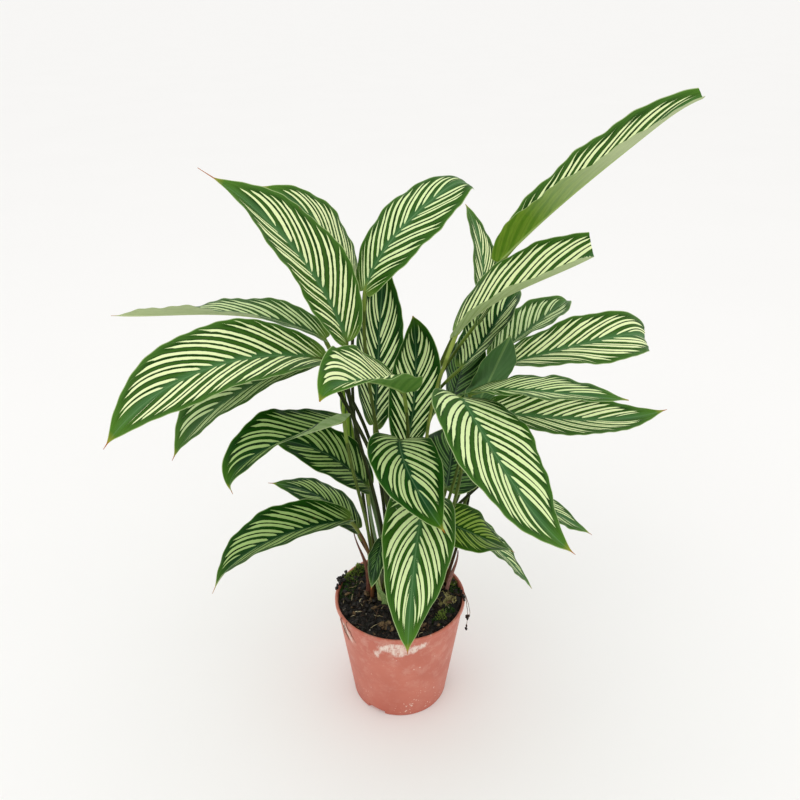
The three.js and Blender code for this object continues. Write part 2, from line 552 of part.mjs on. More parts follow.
// A stem with no blade: a radius for each share of its way, from the soil to its end.
function stemBody(stem) {
  const curve = stalkCurve(stem)
  const points = [new THREE.Vector3(stem.foot[0], stem.foot[1], STALK_START - STALK_SUNK)]
  const radii = [stem.radius * 1.1]
  const steps = stem.steps ?? 4
  for (let i = 0; i <= steps; i++) {
    const u = i / steps
    points.push(curve.getPoint(u))
    const thinned = Math.max(0, (u - stem.taper) / (1 - stem.taper))
    radii.push(stem.radius * (1 - (1 - stem.end) * thinned))
  }
  return tube(points, radii, stem.sides ?? 6)
}

function material(color, roughness) {
  return new THREE.MeshStandardMaterial({ color, roughness, metalness: 0 })
}

const plant = new THREE.Group()
plant.add(meshOf('pot', potBody(), material(0xc06a54, 0.6)))
plant.add(meshOf('soil', soilBody([...LEAVES, ...STEMS]), material(0x2c241d, 0.95)))
for (const leaf of LEAVES) {
  plant.add(meshOf('leaf_' + leaf.name, leafBody(leaf), material(leaf.color, 0.45)))
}
for (const stem of STEMS) {
  plant.add(meshOf(stem.name, stemBody(stem), material(stem.color, 0.6)))
}

export default plant
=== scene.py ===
# Potted white line calathea: the looks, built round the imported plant.
# Metres, Z up, origin at the middle of the pot's bottom. Shapes are worked out in millimetres.
import math

import bpy
import numpy as np
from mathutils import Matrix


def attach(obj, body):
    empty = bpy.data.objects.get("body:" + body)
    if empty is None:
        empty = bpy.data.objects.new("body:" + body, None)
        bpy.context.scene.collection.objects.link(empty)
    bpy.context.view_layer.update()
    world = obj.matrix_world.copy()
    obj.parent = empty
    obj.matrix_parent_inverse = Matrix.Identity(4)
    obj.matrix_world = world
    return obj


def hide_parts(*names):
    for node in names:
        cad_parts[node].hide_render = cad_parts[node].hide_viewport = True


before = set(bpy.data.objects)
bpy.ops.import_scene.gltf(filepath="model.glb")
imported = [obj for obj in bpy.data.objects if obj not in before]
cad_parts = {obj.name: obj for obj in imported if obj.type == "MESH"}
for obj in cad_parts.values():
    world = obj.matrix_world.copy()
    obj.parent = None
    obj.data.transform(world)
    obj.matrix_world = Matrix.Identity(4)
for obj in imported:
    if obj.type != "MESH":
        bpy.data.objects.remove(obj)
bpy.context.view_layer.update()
print("stage: frame loaded,", len(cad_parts), "nodes")


# Helpers

def linear(hexColour):
    # sRGB hex to linear light, with full alpha
    parts = [int(hexColour[i:i + 2], 16) / 255 for i in (1, 3, 5)]
    return tuple(c / 12.92 if c <= 0.04045 else ((c + 0.055) / 1.055) ** 2.4 for c in parts) + (1.0,)


def addNode(tree, kind, inputs=None, **settings):
    # adds one shader node, sets its properties, then fills or links its inputs
    made = tree.nodes.new("ShaderNode" + kind)
    for name, value in settings.items():
        setattr(made, name, value)
    for name, value in (inputs or {}).items():
        if isinstance(value, bpy.types.Node):
            value = value.outputs[0]
        if isinstance(value, bpy.types.NodeSocket):
            tree.links.new(value, made.inputs[name])
        else:
            made.inputs[name].default_value = value
    return made


def newFinish(name, roughness, ior=1.45, gloss=0.5):
    # a material with one principled shader, plain so far
    material = bpy.data.materials.new(name)
    material.use_nodes = True
    tree = material.node_tree
    tree.nodes.clear()
    skin = addNode(tree, "BsdfPrincipled", {"Roughness": roughness, "IOR": ior, "Specular IOR Level": gloss})
    addNode(tree, "OutputMaterial", {"Surface": skin})
    return material, tree, skin


def markParts(tree, name):
    # the three numbers of one of the mesh's own marks
    mark = addNode(tree, "Attribute", attribute_name=name)
    return addNode(tree, "SeparateXYZ", {0: mark.outputs["Vector"]}).outputs


def washOver(tree, colour, shade, measure, starts, full, most=1.0, ease="LINEAR"):
    # lays a shade over a colour: none of it where the measure is at starts, most where it is at full
    share = addNode(tree, "MapRange", {"Value": measure, "From Min": starts, "From Max": full,
                                       "To Max": most}, interpolation_type=ease)
    return addNode(tree, "MixRGB", {0: share, 1: colour, 2: shade})


def closeFinish(tree, skin, colour, height, strength, depthMm):
    # gives a finish its colour, and a bump of that height pattern, this many mm deep
    tree.links.new(colour.outputs[0], skin.inputs["Base Color"])
    bump = addNode(tree, "Bump", {"Height": height, "Strength": strength, "Distance": depthMm / 1000})
    tree.links.new(bump.outputs[0], skin.inputs["Normal"])


def addPiece(name, corners, faceSets, finishes, marks=None, replaces=(), smooth=True):
    # corners in mm; each face set is (array of corner numbers, material number)
    mesh = bpy.data.meshes.new(name)
    mesh.vertices.add(len(corners))
    mesh.vertices.foreach_set("co", (np.asarray(corners) * 0.001).astype(np.float32).ravel())
    counts = np.concatenate([np.full(len(f), f.shape[1]) for f, _ in faceSets])
    numbers = np.concatenate([np.full(len(f), m) for f, m in faceSets])
    loops = np.concatenate([np.asarray(f).ravel() for f, _ in faceSets])
    mesh.loops.add(len(loops))
    mesh.loops.foreach_set("vertex_index", loops.astype(np.int32))
    mesh.polygons.add(len(counts))
    starts = np.concatenate([[0], np.cumsum(counts)[:-1]])
    mesh.polygons.foreach_set("loop_start", starts.astype(np.int32))
    for finish in finishes:
        mesh.materials.append(finish)
    mesh.polygons.foreach_set("material_index", numbers.astype(np.int32))
    mesh.polygons.foreach_set("use_smooth", np.full(len(counts), smooth))
    mesh.update(calc_edges=True)
    for mark, values in (marks or {}).items():
        values = np.asarray(values, np.float32)
        kind = "FLOAT_VECTOR" if values.ndim == 2 else "FLOAT"
        layer = mesh.attributes.new(mark, kind, "POINT")
        layer.data.foreach_set("vector" if values.ndim == 2 else "value", values.ravel())
    mesh.validate()
    piece = bpy.data.objects.new(name, mesh)
    bpy.context.scene.collection.objects.link(piece)
    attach(piece, "root")
    if replaces:
        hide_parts(*replaces)
    return piece


def unit(vectors):
    # each vector divided by its length
    return vectors / np.maximum(np.linalg.norm(vectors, axis=-1, keepdims=True), 1e-9)


def smoothStep(low, high, value):
    # 0 below low, 1 above high, an S-shaped rise between
    t = np.clip((value - low) / (high - low), 0, 1)
    return t * t * (3 - 2 * t)


def lumpy(points, size, seed):
    # smooth random height, -1 to 1: a mixed number at each corner of a lattice of cells, blended between
    cell = np.asarray(points, float) / size
    base = np.floor(cell).astype(np.int64)
    part = cell - base
    part = part * part * (3 - 2 * part)
    total = np.zeros(cell.shape[:-1])
    for corner in range(8):
        step = np.array([corner & 1, corner >> 1 & 1, corner >> 2])
        # large odd numbers mix the corner's place and the seed
        key = ((base + step) * np.array([73856093, 19349663, 83492791])).sum(-1) + seed * 26544357
        key = (key ^ (key >> 13)) * 1274126177 & 0xFFFFFFFF
        key = (key ^ (key >> 16)) * 2246822519 & 0xFFFFFFFF
        share = np.where(step == 1, part, 1 - part).prod(-1)
        total += share * (key / 0xFFFFFFFF)
    return total * 2 - 1


def tubes(paths, radii, sides, level):
    # round tubes, many at once: a ring square to each path at each of its points, and a point closing
    # each end. paths (count, steps, 3), radii (count, steps) or (count, steps, sides), level: the
    # direction that the first corner of each ring faces, cleared of the path's own direction
    paths = np.asarray(paths, float)
    count, steps = paths.shape[:2]
    forward = unit(np.gradient(paths, axis=1))
    level = np.broadcast_to(level, paths.shape)
    side = unit(level - (level * forward).sum(-1, keepdims=True) * forward)
    other = np.cross(forward, side)
    turn = np.linspace(0, 2 * np.pi, sides, endpoint=False)
    radii = np.asarray(radii, float)
    if radii.ndim == 2:
        radii = radii[..., None] * np.ones(sides)
    across = side[:, :, None] * np.cos(turn)[:, None] + other[:, :, None] * np.sin(turn)[:, None]
    rings = paths[:, :, None] + across * radii[..., None]
    # the closing points stand out by a third of the radius
    ends = paths[:, [0, -1]] + forward[:, [0, -1]] * radii.mean(-1)[:, [0, -1], None] * [[-0.3], [0.3]]
    corners = np.concatenate([rings.reshape(count, -1, 3), ends], 1)
    each = steps * sides + 2
    j = np.arange(sides)
    i = np.arange(steps - 1)[:, None] * sides
    following = (j + 1) % sides
    quads = np.stack([i + j, i + following, i + sides + following, i + sides + j], -1).reshape(-1, 4)
    last = (steps - 1) * sides
    capLow = np.stack([np.full(sides, steps * sides), following, j], -1)
    capHigh = np.stack([np.full(sides, steps * sides + 1), last + j, last + following], -1)
    shift = np.arange(count)[:, None, None] * each
    quads = (quads[None] + shift).reshape(-1, 4)
    caps = (np.concatenate([capLow, capHigh])[None] + shift).reshape(-1, 3)
    return corners.reshape(-1, 3), quads, caps


def joined(parts):
    # several (corners, list of face sets) as one
    corners, faceSets, first = [], [], 0
    for points, sets in parts:
        corners.append(points)
        faceSets += [(faces + first, number) for faces, number in sets]
        first += len(points)
    return np.concatenate(corners), faceSets


# Finishes of the leaves

veinLook = {
    "period": 8.0,        # mm square to the veins, from one pair of pale stripes to the next
    "along": 0.22,        # grain is drawn out along the veins: mm of it for each mm of leaf
    "pairCentre": 0.395,  # share of the period where the thin dark vein lies between two stripes
    "firstStripe": (0.200, 0.145),  # middle and half width, as shares of the period
    "secondStripe": (0.590, 0.145),
    "slope": (5.2, 4.7),  # a vein's climb across the half leaf at the base, and its fall along the midrib
    "bend": 0.36,         # how much further forward a vein reaches at the edge
    "pairs": 7.9,         # pairs of stripes on each half of a blade, and one more for every
    "pairEvery": 75,      # mm of its length
    "thinning": 0.35,     # share of the pairs that is missing past the middle
    "lastStart": 0.69,    # share of the length past which no stripe starts
}

leafSpots = {
    "fresh": "#5A8A1C",    # clear green of the plain tip
    "ribLine": "#6E9460",
    "edgeLine": "#B2C688",
    "base": "#78963F",
    "tip": "#9A9A2C",      # yellow, and last a burnt orange-brown
    "burnt": "#B0662A",
    "scar": "#6E5A36",     # brown and corky
    "scratch": "#D4DDB4",  # pale
    "underEdge": "#A9BE7E",
    "stalkFoot": "#6B3F2C",  # brown dry skin
}

# Each row is the same leaf skin with light or shade painted into its colours: the first for leaves in full
# light, the others painted shade of growing depth for leaves lower in and further inside the plant.
topColours = {  # pale stripe, its dimmer end, ground by the midrib, ground in a pair, ground by the edge
    "sunlit": ("#EEFABC", "#CBE592", "#48743E", "#183F04", "#426C22"),
    "shaded": ("#DDF0AE", "#B6D482", "#3F6C38", "#123802", "#3A661C"),
    "inner": ("#DDF0AE", "#B6D482", "#184420", "#062A01", "#1C4C0C"),
    "dimInner": ("#C6DC98", "#A2C472", "#1C4A24", "#0A3002", "#1F500C"),
    "dusky": ("#A9C57A", "#87A75C", "#143E16", "#072A01", "#1A4805"),
    "muted": ("#CDE0A4", "#A2BC7E", "#46683C", "#1E4410", "#42682A"),
    "deep": ("#5E8442", "#466C30", "#143414", "#082803", "#173C09"),
    "deepOlive": ("#94B24C", "#6A8C3A", "#264E0A", "#123602", "#386204"),
}


def veinGrain(tree, count, fromRib, sheet):
    # millimetres across the veins and, drawn out, along them, so that marks run with the veins
    acrossMm = addNode(tree, "Math", {0: count, 1: veinLook["period"]}, operation="MULTIPLY")
    alongMm = addNode(tree, "Math", {0: fromRib, 1: veinLook["along"]}, operation="MULTIPLY")
    return addNode(tree, "CombineXYZ", {0: acrossMm, 1: alongMm, 2: sheet})


def fromPairVein(tree, turn):
    # distance to the vein in the middle of a pair of stripes, as a share of the period
    apart = addNode(tree, "Math", {0: turn, 1: veinLook["pairCentre"]}, operation="SUBTRACT")
    return addNode(tree, "Math", {0: apart}, operation="ABSOLUTE")


def leafTopFinish(name, colours):
    # Living calathea leaf, waxed skin on soft flesh: satin, darkest between the stripes, the stripes
    # pale as wax, feathered at their edges, in pairs with a thin vein between, short of midrib and edge.
    pale, paleDim, byRib, ground, byEdge = [linear(c) for c in colours]
    material, tree, skin = newFinish(name, 0.42, gloss=0.10)
    count, fromRib, fromEdge = markParts(tree, "vein")
    way, sheet, start = markParts(tree, "place")
    scar = addNode(tree, "Attribute", attribute_name="scar").outputs["Fac"]
    leafBreadth = addNode(tree, "Attribute", attribute_name="breadth").outputs["Fac"]
    grain = veinGrain(tree, count, fromRib, sheet)
    # the count of veins, unsteady by a tenth of a period every 0.6 mm and by half of one every 11 mm
    ragged = addNode(tree, "TexNoise", {"Vector": grain, "Scale": 1.6, "Detail": 2.0})
    slow = addNode(tree, "TexNoise", {"Vector": grain, "Scale": 0.09, "Detail": 1.0})
    wobble = addNode(tree, "Math", {0: ragged.outputs[0], 1: 0.10, 2: count}, operation="MULTIPLY_ADD")
    wobble = addNode(tree, "Math", {0: slow.outputs[0], 1: 0.55, 2: wobble}, operation="MULTIPLY_ADD")
    turn = addNode(tree, "Math", {0: wobble}, operation="FRACT")
    number = addNode(tree, "Math", {0: wobble}, operation="FLOOR")
    isSecond = addNode(tree, "Math", {0: turn, 1: veinLook["pairCentre"]}, operation="GREATER_THAN")
    stripe = addNode(tree, "CombineXYZ", {0: number, 1: sheet, 2: isSecond})
    chance = addNode(tree, "TexWhiteNoise", {"Vector": stripe}, noise_dimensions="3D")
    chances = addNode(tree, "SeparateXYZ", {0: chance.outputs["Color"]})
    # how far across its stripe a point is: 0 in the middle, 1 at the edge
    offs = []
    for middle, half in (veinLook["firstStripe"], veinLook["secondStripe"]):
        off = addNode(tree, "Math", {0: turn, 1: middle}, operation="SUBTRACT")
        off = addNode(tree, "Math", {0: off}, operation="ABSOLUTE")
        offs.append(addNode(tree, "Math", {0: off, 1: half}, operation="DIVIDE"))
    off = addNode(tree, "Math", {0: offs[0], 1: offs[1]}, operation="MINIMUM")
    # each stripe begins bluntly 1 to 3 mm from the midrib and thins to a point short of the edge, by
    # about 2 mm in the broad part of the leaf and 5 mm near the tip
    begin = addNode(tree, "MapRange", {"Value": chances.outputs[0], "To Min": 0.7, "To Max": 2.6})
    begun = addNode(tree, "Math", {0: fromRib, 1: begin}, operation="SUBTRACT")
    begun = addNode(tree, "Math", {0: begun, 1: 2.0}, operation="DIVIDE", use_clamp=True)
    begun = addNode(tree, "Math", {0: begun, 1: 0.55}, operation="POWER")
    stop = addNode(tree, "MapRange", {"Value": way, "From Min": 0.45, "From Max": 0.90,
                                      "To Min": 1.0, "To Max": 4.4})
    stop = addNode(tree, "Math", {0: chances.outputs[1], 1: 2.2, 2: stop}, operation="MULTIPLY_ADD")
    ramp = addNode(tree, "MapRange", {"Value": way, "From Min": 0.35, "From Max": 0.80,
                                      "To Min": 6.5, "To Max": 2.2})
    stopped = addNode(tree, "Math", {0: fromEdge, 1: stop}, operation="SUBTRACT")
    stopped = addNode(tree, "Math", {0: stopped, 1: ramp}, operation="DIVIDE", use_clamp=True)
    room = addNode(tree, "Math", {0: begun, 1: stopped}, operation="MINIMUM")
    # and none goes into the last tenth of the length
    tipStop = addNode(tree, "Math", {0: chances.outputs[0], 1: 0.05, 2: way}, operation="MULTIPLY_ADD")
    tipStop = addNode(tree, "MapRange", {"Value": tipStop, "From Min": 0.925, "From Max": 0.885})
    room = addNode(tree, "Math", {0: room, 1: tipStop}, operation="MINIMUM")
    last = veinLook["lastStart"]
    early = addNode(tree, "MapRange", {"Value": start, "From Min": last, "From Max": last - 0.04})
    room = addNode(tree, "Math", {0: room, 1: early}, operation="MULTIPLY")
    breadth = addNode(tree, "MapRange", {"Value": chances.outputs[2], "To Min": 0.82, "To Max": 1.06})
    breadth = addNode(tree, "Math", {0: breadth, 1: leafBreadth}, operation="MULTIPLY")
    room = addNode(tree, "Math", {0: room, 1: breadth}, operation="MULTIPLY")
    inside = addNode(tree, "Math", {0: room, 1: off}, operation="SUBTRACT")
    mask = addNode(tree, "MapRange", {"Value": inside, "From Min": -0.05, "From Max": 0.13},
                   interpolation_type="SMOOTHSTEP")
    # ground: greyer by the midrib, deep between the two stripes of a pair, fresher between pairs and by
    # the edge, and clear green in the plain tip
    apart = fromPairVein(tree, turn)
    colour = washOver(tree, ground, byEdge, apart, 0.28, 0.46, 0.65, "SMOOTHSTEP")
    colour = washOver(tree, byRib, colour, fromRib, 1.0, 5.5, 1.0, "SMOOTHSTEP")
    colour = washOver(tree, colour, byEdge, fromEdge, 7.0, 0.5, 1.0, "SMOOTHSTEP")
    freshGreen = addNode(tree, "MixRGB", {0: 0.45, 1: byEdge, 2: linear(leafSpots["fresh"])})
    colour = washOver(tree, colour, freshGreen, way, 0.78, 0.95, 0.75, "SMOOTHSTEP")
    mottle = addNode(tree, "MapRange", {"Value": ragged.outputs[0], "From Min": 0.3, "From Max": 0.7,
                                        "To Min": 0.84, "To Max": 1.14})
    colour = addNode(tree, "VectorMath", {0: colour, "Scale": mottle}, operation="SCALE")
    # the stripes over it, dimmer where they thin out
    dim = addNode(tree, "MapRange", {"Value": stopped, "From Max": 0.9, "To Min": 0.9, "To Max": 0.0})
    dimmer = addNode(tree, "Math", {0: ragged.outputs[0], 1: dim}, operation="MULTIPLY")
    stripeColour = addNode(tree, "MixRGB", {0: dimmer, 1: pale, 2: paleDim})
    colour = addNode(tree, "MixRGB", {0: mask, 1: colour, 2: stripeColour})
    # scars are brown where the mark is above 0 and pale scratches where it is below
    scarGrain = addNode(tree, "TexNoise", {"Vector": grain, "Scale": 0.9, "Detail": 3.0})
    scarDeep = addNode(tree, "Math", {0: scar, 1: scarGrain.outputs[0]}, operation="MULTIPLY")
    for spot, measure, starts, full, most in (
            ("ribLine", fromRib, 0.75, 0.25, 0.45), ("edgeLine", fromEdge, 0.75, 0.35, 0.8),
            ("base", way, 0.07, 0.01, 0.7), ("tip", way, 0.95, 1.0, 1.0), ("burnt", way, 0.985, 1.004, 1.0),
            ("scar", scarDeep, 0.22, 0.40, 0.9), ("scratch", scarDeep, -0.22, -0.40, 0.8)):
        colour = washOver(tree, colour, linear(leafSpots[spot]), measure, starts, full, most)
    # fine cross veins about 0.9 mm apart, and a duller skin on the stripes
    fineVeins = addNode(tree, "TexNoise", {"Vector": grain, "Scale": 1.1, "Detail": 3.0, "Roughness": 0.65})
    rough = addNode(tree, "MapRange", {"Value": mask, "To Min": 0.40, "To Max": 0.50})
    tree.links.new(rough.outputs[0], skin.inputs["Roughness"])
    closeFinish(tree, skin, colour, fineVeins, 0.5, 0.3)
    return material


underColours = {  # flesh, flesh over the veins, rib, flesh towards the tip
    "sage": ("#93AC76", "#7C9A5E", "#B4C490", "#93AC76"),
    "paleSage": ("#AEBF88", "#93AC68", "#C4D09C", "#B4C48E"),
    "leafGreen": ("#5F8A38", "#48762A", "#93B064", "#5F8A38"),
    "brightGreen": ("#74962C", "#558218", "#A8BE70", "#BCC898"),
    "deepGreen": ("#466C3A", "#38592E", "#6F8F54", "#466C3A"),
}


def leafUnderFinish(name, colours):
    # Underside of the leaf: matt and slightly powdery, the stripes only shining through, a pale rib.
    flesh, over, rib, farFlesh = [linear(c) for c in colours]
    material, tree, skin = newFinish(name, 0.58, gloss=0.2)
    count, fromRib, fromEdge = markParts(tree, "vein")
    way, sheet, _ = markParts(tree, "place")
    grain = veinGrain(tree, count, fromRib, sheet)
    powder = addNode(tree, "TexNoise", {"Vector": grain, "Scale": 1.3, "Detail": 3.0})
    turn = addNode(tree, "Math", {0: powder.outputs[0], 1: 0.12, 2: count}, operation="MULTIPLY_ADD")
    turn = addNode(tree, "Math", {0: turn}, operation="FRACT")
    off = fromPairVein(tree, turn)
    # darker between the pairs and in a thin line along each vein, and another green towards the tip
    colour = washOver(tree, flesh, over, off, 0.22, 0.38, 0.8)
    colour = washOver(tree, colour, over, off, 0.05, 0.01, 0.5)
    colour = washOver(tree, colour, farFlesh, way, 0.22, 0.62, 0.85)
    mottle = addNode(tree, "MapRange", {"Value": powder.outputs[0], "From Min": 0.3, "From Max": 0.7,
                                        "To Min": 0.88, "To Max": 1.1})
    colour = addNode(tree, "VectorMath", {0: colour, "Scale": mottle}, operation="SCALE")
    colour = washOver(tree, colour, rib, fromRib, 1.6, 0.8, 0.8)
    colour = washOver(tree, colour, linear(leafSpots["underEdge"]), fromEdge, 0.6, 0.2, 0.6)
    closeFinish(tree, skin, colour, powder, 0.4, 0.3)
    return material


stalkColours = {  # body, streak, collar under the blade
    "dark": ("#1E240C", "#363F1A", "#546528"),
    "olive": ("#3D4B1C", "#61732E", "#74893A"),
    "greyGreen": ("#5F7A50", "#9FB28C", "#86984F"),
    "yellowGreen": ("#8C9B45", "#5D6B2E", "#9DAE55"),
    "brown": ("#4C3A20", "#6E4C2C", "#6A7434"),
}


def stalkFinish(name, colours):
    # Leaf stalk: firm, smooth, lightly waxed, with fine lengthwise streaks and a fleshy collar at the blade.
    body, streak, collar = [linear(c) for c in colours]
    material, tree, skin = newFinish(name, 0.45, gloss=0.14)
    vein = addNode(tree, "Attribute", attribute_name="vein").outputs["Vector"]
    way = markParts(tree, "place")[0]
    streaks = addNode(tree, "TexNoise", {"Vector": vein, "Scale": 2.2, "Detail": 3.0})
    colour = washOver(tree, body, streak, streaks, 0.40, 0.62)
    # brown dry skin round the foot, and the collar at the top
    foot = addNode(tree, "MapRange", {"Value": way, "From Min": 0.16, "From Max": 0.02, "To Max": 0.75})
    foot = addNode(tree, "Math", {0: foot, 1: streaks.outputs[0]}, operation="MULTIPLY")
    foot = addNode(tree, "Math", {0: foot, 1: 1.7}, operation="MULTIPLY", use_clamp=True)
    colour = addNode(tree, "MixRGB", {0: foot, 1: colour, 2: linear(leafSpots["stalkFoot"])})
    colour = washOver(tree, colour, collar, way, 0.90, 0.95)
    closeFinish(tree, skin, colour, streaks, 0.35, 0.3)
    return material


def finishesOf(make, prefix, table):
    # one finish for each row of colours, named for the row
    return {kind: make(prefix + kind[0].upper() + kind[1:], colours) for kind, colours in table.items()}


# one upper finish for each row: copies of the one leaf skin with their light or shade painted in
topFinish = finishesOf(leafTopFinish, "calatheaLeafTop", topColours)
underFinish = finishesOf(leafUnderFinish, "calatheaLeafUnder", underColours)
stemFinish = finishesOf(stalkFinish, "leafStalk", stalkColours)
print("stage: leaf finishes made")


# Leaves

leafMake = {
    "stations": 112,       # rows from base to tip
    "halfColumns": (0, 0.025, 0.06, 0.11, 0.17, 0.24, 0.31, 0.38, 0.45, 0.52, 0.59, 0.66, 0.73, 0.80,
                    0.86, 0.91, 0.95, 0.98, 1.0),
    "widest": 0.42,        # share of the length
    "thickness": 0.45,     # mm at the midrib, thinning to a third at the edge
    "threadHalf": 0.5,     # mm, half the width of a thread-like tip
    "pleat": 0.22,         # mm, the skin standing up between veins
    "groove": 0.21,        # mm, midrib above
    "rib": 1.0,            # mm, midrib below, at the base
    "ripple": 0.45,        # mm, short ripples of the edge
    "rippleWay": (16, 13),  # mm from one ripple to the next, on the left half and on the right
    "stalkStart": 106.0,   # mm up, where the stalks leave the soil
    "stalkSunk": 22.0,     # mm that they go on below
    "stalkSides": 12,
    "stalkSteps": 44,
    "stalkRadius": 1.1,    # mm, and more by this share of the blade's length
    "stalkGrowth": 0.004,
    "footFlare": 0.35,     # share that the foot is thicker, dying away over
    "flareWay": 16,        # mm
    "collarSwell": 0.14,   # share that the collar is thicker
    "collarLength": 20,    # mm
    "runOutShares": (0.012, 0.03, 0.055, 0.085, 0.12),  # where the stalk runs out under the blade,
    "runOutBelow": (0.5, 0.65, 0.65, 0.55, 0.4),        # how many mm below the midrib,
    "runOutRadius": (0.9, 0.72, 0.55, 0.4, 0.22),       # and how thick, as shares of the stalk
}


def leaf(name, **values):
    # one leaf's values, put over those that most leaves share
    common = {"lobe": 5, "cup": 0, "drop": 0, "thread": 0, "scars": (), "breadth": 1.0, "whole": 1.0}
    return {"name": name, **common, **values}
